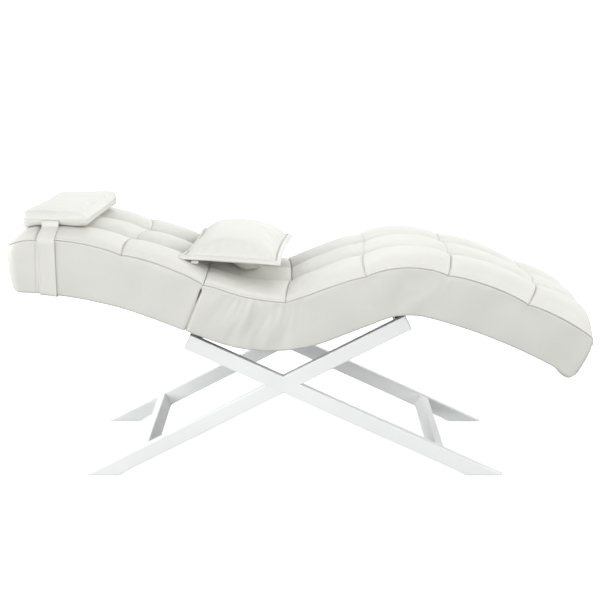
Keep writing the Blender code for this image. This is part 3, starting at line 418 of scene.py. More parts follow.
def spine(stations):
    """X, Z and slope of the underside at each station."""
    left = np.array(stations, float)
    x = np.zeros_like(left)
    z = np.full_like(left, HEAD_HEIGHT)
    slope = np.full_like(left, HEAD_SLOPE)
    for index, (length, turn) in enumerate(SPINE):
        low = -np.inf if index == 0 else 0.0
        high = np.inf if index == len(SPINE) - 1 else length
        run = np.clip(left, low, high)
        half = turn * run / length / 2
        chord = run * np.sinc(half / pi)
        x += chord * np.cos(slope + half)
        z += chord * np.sin(slope + half)
        slope += 2 * half
        left -= run
    return x, z, slope


def lengths_along(points):
    """Length covered along a polyline at each of its points."""
    return np.concatenate(([0.0], np.cumsum(np.linalg.norm(np.diff(points, axis=0), axis=1))))


def side_height(station):
    """Height of the side band at the cross seams."""
    drop = HEAD_DROP * np.maximum(0.0, 1.0 - station / HEAD_DROP_RUN) ** 2
    return HEAD_SIDE_HEIGHT + (FOOT_SIDE_HEIGHT - HEAD_SIDE_HEIGHT) * station / PAD_LENGTH - drop


def bare_points(station, across, height):
    """Points off the underside, measured from the pad's head end."""
    station, across, height = np.broadcast_arrays(*(np.array(v, float) for v in (station, across, height)))
    lean = HEAD_LEAN * height / HEAD_SIDE_HEIGHT * np.maximum(0.0, 1.0 - station / LEAN_RUN)
    x, z, slope = spine(station - lean)
    return np.stack((x - height * np.sin(slope), across, z + height * np.cos(slope)), -1)


def pad_end(station):
    """Distance from the head end of the underside to the quilt's edge at an end."""
    return bare_points(station, 0.0, side_height(station) + QUILT_EDGE)[0]


ORIGIN = np.array(((pad_end(0.0) + pad_end(PAD_LENGTH)) / 2, 0.0, 0.0))


def on_pad(station, across, height):
    """World points at stations along the pad."""
    return bare_points(station, across, height) - ORIGIN


def seam_stations():
    """Stations of the cross seams, spaced by the panel length along the welt line."""
    stations = np.arange(0.0, PAD_LENGTH + STATION_STEP / 2, STATION_STEP)
    points = on_pad(stations, 0.0, side_height(stations))
    covered = lengths_along(points)
    targets = [HEAD_PANEL_LENGTH + PANEL_LENGTH * count for count in range(HEAD_PANELS + SEAT_PANELS + 1)]
    return [stations[np.searchsorted(covered, target)] for target in targets if target < covered[-1]]


SEAMS = np.array([0.0] + seam_stations() + [PAD_LENGTH])
SEAMS[-3:-1] -= SEAM_EASE
SPLIT = SEAMS[1 + HEAD_PANELS]
INNER_SEAMS = SEAMS[1:-1]
SPANS = {"head": (0.0, SPLIT - SPLIT_GAP / 2), "seat": (SPLIT + SPLIT_GAP / 2, PAD_LENGTH)}


def drift(station, across):
    """Shift along the pad of the quilting, whose cross seams bow towards the foot."""
    middle = np.interp(station, SEAMS, SEAM_BOW[:, 0])
    lean = np.interp(station, SEAMS, SEAM_BOW[:, 1])
    return (1.0 - (across / HALF_WIDTH) ** 2) * (middle + lean * across / HALF_COLUMN)


def on_quilt(station, across, height):
    """World points of the quilted top, at stations counted along its edge."""
    return on_pad(station + drift(station, across), across, height)


def arch(share):
    """Parabola that is 0 at both ends of a span and 1 in its middle."""
    return 4.0 * share * (1.0 - share)


def swell(share):
    """Rise of stuffing between two seams."""
    return np.maximum(0.0, arch(share)) ** PANEL_FULLNESS


def panel_swell(station):
    """Rise along the panel that holds a station."""
    panel = np.clip(np.searchsorted(SEAMS, station, side="left") - 1, 0, len(SEAMS) - 2)
    start, end = SEAMS[panel], SEAMS[panel + 1]
    return np.minimum(1.0, (end - start) / PANEL_LENGTH) * swell((station - start) / (end - start))


def column_swell(across, half_width):
    """Rise across the column that holds a place."""
    reach = np.abs(across)
    inner = swell((across + HALF_COLUMN) / (2 * HALF_COLUMN))
    outer = swell((reach - HALF_COLUMN) / (half_width - HALF_COLUMN))
    return np.where(reach <= HALF_COLUMN, inner, outer)


def end_rise(station):
    """Share of the crown that is left near the two ends."""
    reach = np.minimum(station, PAD_LENGTH - station)
    return 1.0 - np.maximum(0.0, 1.0 - reach / CROWN_END_RUN) ** CROWN_END_POWER


def unit(value):
    """Value kept between 0 and 1."""
    return np.clip(value, 0.0, 1.0)


def foot_turn(station, radius):
    """How far a rounding at the foot has turned: 0 where it starts, 1 at the end."""
    return unit((station - PAD_LENGTH + radius) / radius)


def foot_drop(station, radius):
    """Height that a rounding at the foot takes off."""
    return radius * (1.0 - np.sqrt(1.0 - foot_turn(station, radius) ** 2))


def crown(station, across, half_width):
    """Rise of the pad's middle over its sewn edges."""
    reach = np.minimum(1.0, np.abs(across) / half_width)
    rise = HEAD_CROWN + (FOOT_CROWN - HEAD_CROWN) * (station / PAD_LENGTH) ** 2
    return rise * end_rise(station) * (1.0 - reach ** CROWN_POWER)


def welt_height(station):
    """Height of the welt line, which scallops between the cross seams and turns down at the foot."""
    return side_height(station) + CHANNEL_RISE * panel_swell(station) - foot_drop(station, FOOT_TURN)


def plain_top(station, across, half_width=HALF_WIDTH):
    """Height of the stuffed top without its sewing."""
    over = column_swell(across, half_width) * end_rise(station)
    rest = PANEL_RISE - CHANNEL_RISE - SEAM_RISE
    stuffing = SEAM_RISE * over + rest * panel_swell(station) * over
    return welt_height(station) + QUILT_EDGE + crown(station, across, half_width) + stuffing


def ripples(first, second, wavelength, seed, count=14):
    """Smooth noise of about one wavelength, between -1 and 1, the same each run."""
    draws = np.random.default_rng(seed)
    total = np.zeros(np.broadcast(first, second).shape)
    for _ in range(count):
        turn = draws.uniform(0.0, 2 * pi)
        number = 2 * pi / (wavelength * draws.uniform(*RIPPLE_SPREAD))
        wave = number * (first * cos(turn) + second * sin(turn)) + draws.uniform(0.0, 2 * pi)
        total = total + np.sin(wave)
    return total / np.sqrt(count / 2) / 2


def waves(place, first, second, run, wander, scale, seed):
    """Waves of one run along a place, which wander with smooth noise over two coordinates."""
    return np.sin(place / run + wander * ripples(first, second, scale, seed))


def bell(distance, spread):
    """Bump of height 1 that fades over a spread."""
    return np.exp(-(distance / spread) ** 2)


def nearest(values, marks):
    """Distance to the nearest mark."""
    return np.min(np.abs(values[..., None] - np.asarray(marks)), axis=-1)


def fading(distance, reach, bare):
    """Strength of folds that fade over a reach and leave a bare strip along the thread."""
    return np.exp(-distance / reach) * (1.0 - bell(distance, bare))


def puckers(station, across, to_seam, to_channel, to_edge, calm):
    """Short puckers along the seams, the channels and the topstitched edge."""
    at_seam = waves(across, station, across, *SEAM_WAVES)
    at_channel = waves(station, station, across, *CHANNEL_WAVES)
    past_stitch = to_edge - STITCH_INSET
    edge_fade = np.exp(-np.maximum(0.0, past_stitch) / EDGE_PUCKER_REACH) * (past_stitch > 0.0)
    total = at_seam * fading(to_seam, PUCKER_REACH, SEAM_BARE) * calm
    total = total + CHANNEL_PUCKER * at_channel * fading(to_channel, PUCKER_REACH, CHANNEL_BARE) * calm
    return total + EDGE_PUCKER * at_channel * edge_fade


def sewn_top(station, across, half_width, section):
    """Height of the top with its topstitched edge, creases, tufts and folds."""
    to_seam = nearest(station, INNER_SEAMS)
    to_channel = np.abs(np.abs(across) - HALF_COLUMN)
    to_tuft = np.hypot(to_seam, to_channel)
    to_side = half_width - np.abs(across)
    to_edge = np.minimum(to_side, np.minimum(station, PAD_LENGTH - station))
    ends = end_rise(station)
    seam = np.argmin(np.abs(station[..., None] - INNER_SEAMS), axis=-1)
    column = np.searchsorted((-HALF_COLUMN, HALF_COLUMN), across)
    height = plain_top(station, across, half_width)
    height = height - STITCH_VALLEY * bell(np.minimum(to_side, station) - STITCH_INSET, STITCH_SPREAD)
    height = height - CREASE_DEPTH * SEAM_DRAW[seam, column] * bell(to_seam, CREASE_SPREAD)
    height = height - CHANNEL_DEPTH * bell(to_channel, CHANNEL_SPREAD) * ends
    valley = np.maximum(0.0, 1.0 - to_channel / COLUMN_DROP_RUN) ** 2
    drop = COLUMN_DROP[section] + DIP_DROP * bell(station - SPLIT - DIP_PLACE, DIP_SPREAD)
    height = height - drop * valley * ends
    height = height - TUFT_DEPTH[section] * bell(to_tuft, TUFT_SPREAD)
    calm = unit(to_edge / CALM_RUN)
    folds = fading(to_tuft, TUFT_FOLD_REACH, TUFT_BARE) * np.cos(TUFT_FOLDS * np.arctan2(to_seam, to_channel))
    uneven = ripples(station, across, UNEVEN_SCALE, seed=7)
    uneven = uneven + FINE_UNEVEN * ripples(station, across, FINE_UNEVEN_SCALE, seed=11)
    height = height + PUCKER * puckers(station, across, to_seam, to_channel, to_edge, calm)
    return height + TUFT_FOLD[section] * folds * calm + UNEVEN * uneven * calm


# Mesh helpers


def add_object(name, points, faces, material, smooth=True):
    """New mesh object from points and faces."""
    data = bpy.data.meshes.new(name)
    data.from_pydata([tuple(point) for point in np.asarray(points, float)], [], faces)
    data.validate()
    mesh = bmesh.new()
    mesh.from_mesh(data)
    bmesh.ops.recalc_face_normals(mesh, faces=mesh.faces)
    mesh.to_mesh(data)
    mesh.free()
    if smooth:
        data.shade_smooth()
    data.materials.append(material)
    item = bpy.data.objects.new(name, data)
    bpy.context.scene.collection.objects.link(item)
    return item


def packed_lines(start, end, low_insets, high_insets, step=GRID_STEP):
    """Grid lines from start to end, packed close to both ends."""
    middle = (start + end) / 2
    low = [start + inset for inset in low_insets if start + inset < middle]
    high = [end - inset for inset in high_insets if end - inset > middle]
    count = max(2, int((high[-1] - low[-1]) / step) + 1)
    between = np.linspace(low[-1], high[-1], count)[1:-1]
    return np.array(low + list(between) + high[::-1])


def boundary_of(rows, columns):
    """Indices of a grid's edge, in order round it."""
    grid = np.arange(rows * columns).reshape(rows, columns)
    return np.concatenate((grid[:, 0], grid[-1, 1:], grid[-2::-1, -1], grid[0, -2:0:-1]))


def shell_faces(rows, columns, ring_count):
    """Faces of a top grid, rings of wall below its edge, and a grid that closes the bottom."""
    grid = np.arange(rows * columns).reshape(rows, columns)
    edge = boundary_of(rows, columns)
    walls = grid.size + np.arange(len(edge) * ring_count)
    rings = np.concatenate((edge, walls)).reshape(ring_count + 1, len(edge))
    inner = np.setdiff1d(grid, edge)
    base = np.empty(grid.size, int)
    base[edge] = rings[-1]
    base[inner] = grid.size + walls.size + np.arange(len(inner))
    bottom = [face[::-1] for face in grid_faces(base.reshape(rows, columns))]
    return grid_faces(grid) + tube_faces(rings) + bottom, inner


def quads(*corners):
    """Faces from arrays of their first, second, third and fourth corners."""
    return [tuple(face) for face in np.stack(corners, -1).reshape(-1, 4).tolist()]


def grid_faces(grid):
    """Quads of a grid of point indices."""
    return quads(grid[:-1, :-1], grid[1:, :-1], grid[1:, 1:], grid[:-1, 1:])


def tube_faces(rings):
    """Quads between rings of point indices, each ring closed on itself."""
    closed = np.concatenate((rings, rings[:, :1]), axis=1)
    return quads(closed[:-1, :-1], closed[:-1, 1:], closed[1:, 1:], closed[1:, :-1])


def flat_grid(first, second):
    """Both coordinates of every point of a grid, in rows along the first."""
    return (grid.ravel() for grid in np.meshgrid(first, second, indexing="ij"))


def vertex_array(mesh):
    """Points of a mesh as an array."""
    flat = np.empty(len(mesh.vertices) * 3)
    mesh.vertices.foreach_get("co", flat)
    return flat.reshape(-1, 3)


def move_vertices(mesh, points):
    """Gives a mesh's points new places."""
    mesh.vertices.foreach_set("co", points.ravel())
    mesh.update()


# Materials


class Nodes:
    """Shader nodes of a material or a world, set and linked by the names of their sockets."""

    def __init__(self, owner):
        owner.use_nodes = True
        self.tree = owner.node_tree

    def fill(self, node, **settings):
        """Links sockets and sets values on a node. An underscore stands for a space in a socket's name."""
        for key, value in settings.items():
            socket = node.inputs.get(key.replace("_", " "))
            if socket is None:
                setattr(node, key, value)
            elif isinstance(value, bpy.types.NodeSocket):
                self.tree.links.new(value, socket)
            else:
                socket.default_value = value
        return node

    def add(self, kind, **settings):
        """New shader node of one kind."""
        return self.fill(self.tree.nodes.new("ShaderNode" + kind), **settings)

    def noise(self, **settings):
        """Value of a noise texture."""
        return self.add("TexNoise", **settings).outputs["Fac"]

    def bump(self, **settings):
        """Normal of a bumped surface."""
        return self.add("Bump", **settings).outputs["Normal"]

    def ramp(self, source, stops):
        """Colour of a ramp over a value."""
        node = self.add("ValToRGB", Fac=source)
        elements = node.color_ramp.elements
        for element, (place, colour) in zip(elements, stops):
            element.position = place
            element.color = (*colour, 1.0)
        for place, colour in stops[len(elements):]:
            elements.new(place).color = (*colour, 1.0)
        return node.outputs["Color"]

    def finish(self, **settings):
        """Sets the surface's own inputs."""
        self.fill(self.tree.nodes["Principled BSDF"], **settings)


def new_material(name):
    """Empty node material, its nodes and the place of its textures."""
    material = bpy.data.materials.new(name)
    nodes = Nodes(material)
    return material, nodes, nodes.add("TexCoord").outputs["Object"]


def grey(value):
    """Grey of one value."""
    return (value, value, value)


def darker(colour, share):
    """Colour brought down to a share of its brightness."""
    return tuple(value * share for value in colour)


def leather_material(name, colour, grain=1100.0):
    """Fine-grained leatherette with faint mottling and a soft sheen."""
    material, nodes, place = new_material(name)
    mottle = nodes.noise(Scale=9.0, Detail=5.0, Roughness=0.6, Vector=place)
    cells = nodes.add("TexVoronoi", Scale=grain, feature="SMOOTH_F1", Smoothness=0.6, Vector=place)
    pores = nodes.noise(Scale=grain * 0.45, Detail=3.0, Vector=place)
    creases = nodes.noise(Scale=60.0, Detail=4.0, Distortion=0.8, Vector=place)
    fine = nodes.bump(Height=cells.outputs["Distance"], Strength=0.16, Distance=0.0006)
    coarse = nodes.bump(Height=pores, Strength=0.10, Distance=0.0010, Normal=fine)
    soft = nodes.bump(Height=creases, Strength=0.12, Distance=0.0030, Normal=coarse)
    tone = nodes.ramp(mottle, ((0.30, darker(colour, 0.955)), (0.70, colour)))
    gloss = nodes.ramp(pores, ((0.35, grey(0.42)), (0.70, grey(0.56))))
    nodes.finish(Base_Color=tone, Normal=soft, Roughness=gloss, Specular_IOR_Level=0.42, Sheen_Weight=0.06,
                 Sheen_Roughness=0.5)
    return material


def coat_material(name, colour, roughness=(0.30, 0.42), peel=420.0):
    """Powder coat with a slight orange peel."""
    material, nodes, place = new_material(name)
    cloud = nodes.noise(Scale=6.0, Detail=4.0, Vector=place)
    skin = nodes.noise(Scale=peel, Detail=2.0, Vector=place)
    tone = nodes.ramp(cloud, ((0.32, darker(colour, 0.965)), (0.62, colour)))
    gloss = nodes.ramp(cloud, ((0.30, grey(roughness[0])), (0.75, grey(roughness[1]))))
    peeled = nodes.bump(Height=skin, Strength=0.09, Distance=0.0006)
    nodes.finish(Base_Color=tone, Normal=peeled, Roughness=gloss)
    return material


def steel_material(name):
    """Zinc-plated steel with a fine brushed grain."""
    material, nodes, place = new_material(name)
    grain = nodes.noise(Scale=900.0, Detail=3.0, Vector=place)
    tone = nodes.ramp(grain, ((0.30, (0.52, 0.53, 0.55)), (0.70, (0.68, 0.68, 0.69))))
    gloss = nodes.ramp(grain, ((0.30, grey(0.28)), (0.70, grey(0.44))))
    nodes.finish(Base_Color=tone, Roughness=gloss, Metallic=1.0)
    return material


def weave_material(name, colour, threads):
    """Woven or non-woven cloth."""
    material, nodes, place = new_material(name)
    both = nodes.add("Math", operation="MULTIPLY")
    for socket, way in zip(both.inputs, "XY"):
        wave = nodes.add("TexWave", Scale=threads, bands_direction=way, Distortion=0.6, Vector=place)
        nodes.tree.links.new(wave.outputs["Fac"], socket)
    weave = both.outputs["Value"]
    tone = nodes.ramp(weave, ((0.0, darker(colour, 0.86)), (0.7, colour)))
    raised = nodes.bump(Height=weave, Strength=0.35, Distance=0.0006)
    nodes.finish(Base_Color=tone, Normal=raised, Roughness=0.9)
    return material


def wood_material(name):
    """Raw plywood with its layers and grain."""
    material, nodes, place = new_material(name)
    stretch = nodes.add("Mapping", Scale=(2.0, 40.0, 40.0), Vector=place)
    grain = nodes.noise(Scale=4.0, Detail=6.0, Distortion=0.6, Vector=stretch.outputs["Vector"])
    tone = nodes.ramp(grain, ((0.30, (0.50, 0.35, 0.20)), (0.70, (0.74, 0.57, 0.38))))
    raised = nodes.bump(Height=grain, Strength=0.2, Distance=0.0008)
    nodes.finish(Base_Color=tone, Normal=raised, Roughness=0.72)
    return material


# One leatherette in four copies. The pillow, cushion and strap copies are lighter than the pad's only to
# match how brightly each piece looks lit: painted light and shade, not a different leather.
LEATHER = leather_material("leatherette", (0.712, 0.710, 0.668))
PILLOW_LEATHER = leather_material("pillow_leatherette", (0.735, 0.735, 0.692), grain=1000.0)
CUSHION_LEATHER = leather_material("cushion_leatherette", (0.735, 0.735, 0.692), grain=1000.0)
STRAP_LEATHER = leather_material("strap_leatherette", (0.728, 0.726, 0.684), grain=1000.0)
THREAD = weave_material("thread", (0.80, 0.79, 0.75), threads=2200.0)
COAT = coat_material("powder_coat", (0.895, 0.91, 0.905))
PLASTIC = coat_material("plastic", (0.80, 0.81, 0.80), roughness=(0.48, 0.60), peel=900.0)
STEEL = steel_material("steel")
CLOTH = weave_material("bottom_cloth", (0.050, 0.050, 0.052), threads=520.0)
TAPE = weave_material("zip_tape", (0.78, 0.77, 0.73), threads=1500.0)
WOOD = wood_material("plywood")


# Cover of each section of the pad


def corner_radii(section, low=False):
    """Plan radii of a section's two ends, which differ at the split above and below its welt."""
    split = SPLIT_CORNER if low else SPLIT_CORNER_TOP
    return (HEAD_CORNER, split) if section == "head" else (split, FOOT_CORNER)


def half_width_at(station, span, radii):
    """Half the pad's width at a station, less in its rounded corners."""
    half = np.full(np.shape(station), HALF_WIDTH)
    for reach, radius in ((station - span[0], radii[0]), (span[1] - station, radii[1])):
        inside = np.clip(radius - reach, 0.0, radius)
        half = np.minimum(half, HALF_WIDTH - radius + np.sqrt(radius ** 2 - inside ** 2))
    return half


def in_plan(line, half_width):
    """Place across the pad of a grid line that is named by its place at full width."""
    reach = np.abs(line)
    outer = HALF_COLUMN + (reach - HALF_COLUMN) * (half_width - HALF_COLUMN) / (HALF_WIDTH - HALF_COLUMN)
    return np.sign(line) * np.where(reach <= HALF_COLUMN, reach, outer)


def section_lines(section):
    """Grid lines of one section along the pad and across it."""
    start, end = SPANS[section]
    seams = [seam for seam in INNER_SEAMS if start + SPLIT_REACH < seam < end - SPLIT_REACH]
    marks = [start] + seams + [end]
    along = []
    for low, high in zip(marks, marks[1:]):
        low_insets = END_INSETS if low == start else SEAM_INSETS
        high_insets = END_INSETS if high == end else SEAM_INSETS
        along += list(packed_lines(low, high, low_insets, high_insets))[:-1]
    outer = packed_lines(HALF_COLUMN, HALF_WIDTH, SEAM_INSETS, EDGE_INSETS)
    inner = packed_lines(-HALF_COLUMN, HALF_COLUMN, SEAM_INSETS, SEAM_INSETS)
    across = np.concatenate((-outer[::-1], inner[1:-1], outer))
    return np.array(along + [end]), across


def smooth_step(value, low, high):
    """Smooth rise from 0 at low to 1 at high."""
    share = unit((value - low) / (high - low))
    return share * share * (3.0 - 2.0 * share)


def band_folds(station, height, welt):
    """Folds of the side band: slack in the dip and at the knee, and puckers under the cusps of the welt."""
    below = welt - height
    slack = sum(strength * bell(station - place, spread) for place, spread, strength in BAND_SLACK)
    slant = station + FOLD_SLANT * below
    narrow = waves(slant, slant, below, *FOLD_WAVES) * np.exp(-below / FOLD_FADE)
    broad = ripples(slant, below * BROAD_STRETCH, BROAD_SCALE, seed=23)
    cusp = np.exp(-nearest(station, INNER_SEAMS) / CUSP_REACH) * np.exp(-below / CUSP_FADE)
    gathers = waves(station, station, below, *CUSP_WAVES)
    uneven = ripples(station, below, BAND_UNEVEN_SCALE, seed=27)
    folds = slack * (FOLD_DEPTH * narrow + BROAD_DEPTH * broad) + CUSP_DEPTH * cusp * gathers
    return unit(below / BAND_CALM_RUN) * (folds + BAND_UNEVEN * uneven)


def wall_rows(station, at_split, endward, top):
    """Reach, height and stretch at the foot of each ring down a cover's walls and under its edge."""
    welt = welt_height(station)
    at_foot = smooth_step(station, PAD_LENGTH - FOOT_LIP_RUN, PAD_LENGTH - FOOT_TIP)
    bottom = foot_drop(station, FOOT_TIP) - FOOT_LIP * at_foot
    rounding = BOTTOM_ROUND + (FOOT_ROUND - BOTTOM_ROUND) * at_foot * (1.0 - foot_turn(station, FOOT_TIP))
    last_out, last_rise = WELT_ROWS[-1]
    face_top = welt + last_rise
    face_end = bottom + rounding
    rows = []
    for index, (out, rise) in enumerate(WELT_ROWS):
        share = (index + 1) / len(WELT_ROWS)
        height = np.where(at_split, top + (face_top - top) * share, welt + rise)
        eased = out + (last_out - out) * WELT_FADE * endward * (station > SPLIT)
        rows.append((np.where(at_split, 0.0, eased), height, FOOT_WELT_STRETCH * share))
    seam = nearest(station, (HEAD_SEAM, PAD_LENGTH - FOOT_SEAM))
    lip = BAND_LIP * bell(seam - BAND_LIP_PLACE, BAND_LIP_SPREAD)
    sewn = lip - BAND_SEAM_DEPTH * bell(seam, BAND_SEAM_SPREAD)
    for step in range(1, BAND_ROWS + 1):
        share = step / BAND_ROWS
        height = face_top + (face_end - face_top) * share
        fullness = arch(share) ** END_FULLNESS
        bulge = np.where(station > SPLIT, 0.0, HEAD_BULGE) * fullness
        plain = last_out + BAND_SWELL * arch(share) + band_folds(station, height, welt) + sewn
        out = plain + (last_out + bulge - plain) * endward
        rows.append((np.where(at_split, 0.0, out), height, FOOT_BULGE * fullness + FOOT_FLARE * share ** 3))
    face_out = rows[-1][0]
    for step in range(1, ROUND_ROWS + 1):
        turn = pi / 2 * step / ROUND_ROWS
        height = bottom + rounding * (1.0 - sin(turn))
        rows.append((face_out - rounding * (1.0 - cos(turn)), height, FOOT_FLARE))
    for share, level in UNDER_ROWS:
        rows.append((-share * FOLD_UNDER - rounding, np.full(station.shape, level), FOOT_FLARE))
    return rows


def wall_points(section, station, line, is_end, top):
    """Rings of points down a cover's walls and under its edge, from the edge of its top."""
    span = SPANS[section]
    welt = welt_height(station)
    at_split = is_end & (np.abs(station - SPLIT) < SPLIT_REACH)
    endward = end_share(section, station, is_end & ~at_split)
    near_split = np.maximum(0.0, 1.0 - np.abs(station - SPLIT) / SPLIT_SLANT_RUN)
    near_foot = smooth_step(station, PAD_LENGTH - FOOT_STRETCH_RUN, PAD_LENGTH)
    inner = smooth_step(HALF_WIDTH - np.abs(line), *SPLIT_TOUCH_RANGE)
    rings = []
    for out, height, stretch in wall_rows(station, at_split, endward, top):
        low = smooth_step(welt - height, *WELT_RANGE)
        radii = [above + (below - above) * low
                 for above, below in zip(corner_radii(section), corner_radii(section, low=True))]
        along, across = edge_plan(span, station, line, is_end, radii, out)
        slant = SPLIT_SLANT * near_split * unit(1.0 - height / welt)
        opening = SPLIT_OPENING * low * near_split * np.sign(station - SPLIT) * (1.0 - SPLIT_TOUCH * inner)
        rings.append(on_pad(along - slant + opening + stretch * near_foot, across, height))
    return np.concatenate(rings)


def end_share(section, station, on_end):
    """How far each point of a cover's edge faces its closed end: 1 on the end, less round its corners."""
    span, radii = SPANS[section], corner_radii(section)
    reach, radius = (station - span[0], radii[0]) if section == "head" else (span[1] - station, radii[1])
    return np.where(on_end, 1.0, unit(1.0 - reach / radius))


def edge_plan(span, station, line, is_end, radii, out):
    """Stations and places across of a cover's edge, set out square to its outline."""
    forward = np.zeros_like(station)
    for reach, radius, way in ((station - span[0], radii[0], -1.0), (span[1] - station, radii[1], 1.0)):
        forward = forward + way * np.clip(radius - reach, 0.0, radius) / radius
    forward = np.where(is_end, np.where(station < sum(span) / 2, -1.0, 1.0), forward)
    sideways = np.sign(line) * np.sqrt(1.0 - np.minimum(1.0, forward ** 2))
    place = in_plan(line, half_width_at(station, span, radii))
    return station + forward * out, place + sideways * out


def make_cover(section):
    """Upholstered cover of one section: quilted top, welted sides and the edge that folds under."""
    along, across = section_lines(section)
    station, line = flat_grid(along, across)
    half = half_width_at(station, SPANS[section], corner_radii(section))
    place = in_plan(line, half)
    height = sewn_top(station, place, half, section)
    top = on_quilt(station, place, height)
    edge = boundary_of(len(along), len(across))
    is_end = np.abs(line[edge]) < HALF_WIDTH - TOLERANCE
    walls = wall_points(section, station[edge], line[edge], is_end, height[edge])
    faces, inner = shell_faces(len(along), len(across), len(walls) // len(edge))
    shrink = 1.0 - (FOLD_UNDER + BOTTOM_ROUND) / HALF_WIDTH
    base = on_pad(station[inner], place[inner] * shrink, UNDER_LEVEL)
    cover = add_object(section + "_cover", np.concatenate((top, walls, base)), faces, LEATHER)
    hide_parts(*[name for name in NODES if name.startswith(section + "_") and
                         name.endswith(("_quilt", "_band", "_band_right", "_band_left", "_foam"))])
    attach(cover, "bed")


for part in SPANS:
    make_cover(part)


# Shared makers for the soft pieces


def pad_top(x, across):
    """World height of the plain top at places in plan."""
    x, across = np.broadcast_arrays(np.array(x, float), np.array(across, float))
    reach = np.clip(across, -HALF_WIDTH, HALF_WIDTH)
    low = np.zeros(x.shape)
    high = np.full(x.shape, PAD_LENGTH)
    for _ in range(SOLVE_STEPS):
        middle = (low + high) / 2
        beyond = on_quilt(middle, reach, plain_top(middle, reach))[..., 0] > x
        high = np.where(beyond, middle, high)
        low = np.where(beyond, low, middle)
    return on_quilt(low, reach, plain_top(low, reach))[..., 2]


def inflate(item, pinned, pressure, cap, loosen):
    """Stuffs a closed skin by cloth simulation and keeps the result, with no point moved past the cap."""
    scene = bpy.context.scene
    group = item.vertex_groups.new(name="pinned")
    group.add([int(index) for index in pinned], 1.0, "REPLACE")
    cloth = item.modifiers.new("stuffing", "CLOTH")
    for key, value in STUFFING.items():
        setattr(cloth.settings, key, value)
    cloth.settings.vertex_group_mass = group.name
    cloth.settings.uniform_pressure_force = pressure
    cloth.settings.shrink_min = -loosen
    cloth.settings.effector_weights.gravity = 0.0
    cloth.collision_settings.use_collision = False
    for step in range(1, STUFFING_STEPS + 1):
        scene.frame_set(step)
    stuffed = item.evaluated_get(bpy.context.evaluated_depsgraph_get())
    before = vertex_array(item.data)
    moved = vertex_array(stuffed.data) - before
    reach = np.linalg.norm(moved, axis=1, keepdims=True)
    moved *= np.minimum(1.0, cap / np.maximum(reach, TOLERANCE))
    item.modifiers.remove(cloth)
    item.vertex_groups.remove(group)
    scene.frame_set(1)
    move_vertices(item.data, before + moved)


def spaced_along(points, pitch):
    """Points at a pitch along a polyline, with the way it runs at each."""
    points = np.asarray(points, float)
    covered = lengths_along(points)
    marks = np.arange(pitch / 2, covered[-1], pitch)
    at, ahead, back = (np.stack([np.interp(marks + shift, covered, axis) for axis in points.T], -1)
                       for shift in (0.0, pitch / 4, -pitch / 4))
    return at, ahead - back


def sew(name, paths, pitch, body, length=STITCH_LENGTH, radius=STITCH_RADIUS):
    """Short thread stitches at a pitch along paths, each a spindle that lies along its path."""
    turns = [2 * pi * side / STITCH_SIDES for side in range(STITCH_SIDES)]
    spindle = [Vector((share * length, girth * radius * cos(turn), girth * radius * sin(turn)))
               for share, girth in STITCH_RINGS for turn in turns]
    rings = np.arange(len(spindle)).reshape(len(STITCH_RINGS), STITCH_SIDES)
    pattern = tube_faces(rings) + [tuple(rings[0, ::-1].tolist()), tuple(rings[-1].tolist())]
    points, faces = [], []
    for path in paths:
        for point, way in zip(*spaced_along(path, pitch)):
            turn = Vector(way).normalized().to_track_quat("X", "Z").to_matrix()
            faces += [tuple(len(points) + corner for corner in face) for face in pattern]
            points += [Vector(point) + turn @ spot for spot in spindle]
    thread = add_object(name, points, faces, THREAD)
    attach(thread, body)


# Stitching of the pad and the cloth under it


def edge_stitch_paths(section):
    """Paths of the topstitching just inside a section's welt, along both sides and its closed end."""
    start, end = SPANS[section]
    closed = STITCH_INSET
    clearances = (STITCH_END_CLEARANCE, STITCH_SPLIT_CLEARANCE)
    if section == "seat":
        closed = PAD_LENGTH - STITCH_INSET
        clearances = clearances[::-1]
    inset = HALF_WIDTH - STITCH_INSET
    along = np.linspace(start + clearances[0], end - clearances[1], STITCH_SIDE_SAMPLES)
    over = np.linspace(-inset, inset, STITCH_END_SAMPLES)
    routes = [(along, np.full(along.shape, side * inset)) for side in (-1.0, 1.0)]
    paths = []
    for station, across in routes + [(np.full(over.shape, closed), over)]:
        half = half_width_at(station, SPANS[section], corner_radii(section))
        paths.append(on_quilt(station, across, sewn_top(station, across, half, section) + STITCH_PROUD))
    return paths


def make_under_cloth(section):
    """Dust cloth stapled under one section."""
    start, end = SPANS[section]
    along = np.linspace(start + CLOTH_INSET, end - CLOTH_INSET, int((end - start) / CLOTH_STEP))
    across = np.linspace(-HALF_WIDTH + CLOTH_INSET, HALF_WIDTH - CLOTH_INSET, CLOTH_COLUMNS)
    station, place = flat_grid(along, across)
    height = CLOTH_LEVEL + CLOTH_UNEVEN * ripples(station, place, CLOTH_UNEVEN_SCALE, seed=31)
    grid = np.arange(station.size).reshape(len(along), len(across))
    cloth = add_object(section + "_dust_cloth", on_pad(station, place, height), grid_faces(grid), CLOTH)
    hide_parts(section + "_bottom_cloth")
    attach(cloth, "bed")


for part in SPANS:
    sew(part + "_topstitch", edge_stitch_paths(part), STITCH_PITCH, "bed")
    make_under_cloth(part)


# Head pillow and strap


def pad_ridge():
    """Places along the pad under the pillow, and the highest stuffing across it at each."""
    reach = PILLOW_LENGTH / 2 + PILLOW_EAR + PILLOW_WIDTH / 2 * abs(sin(PILLOW_YAW)) + RIDGE_MARGIN
    places = np.linspace(PILLOW_X - reach, PILLOW_X + reach, RIDGE_ROWS)
    across = np.linspace(0.0, PILLOW_WIDTH / 2, RIDGE_COLUMNS)
    x, y = np.meshgrid(places, across, indexing="ij")
    return places, pad_top(x, y).max(axis=1)


RIDGE = pad_ridge()


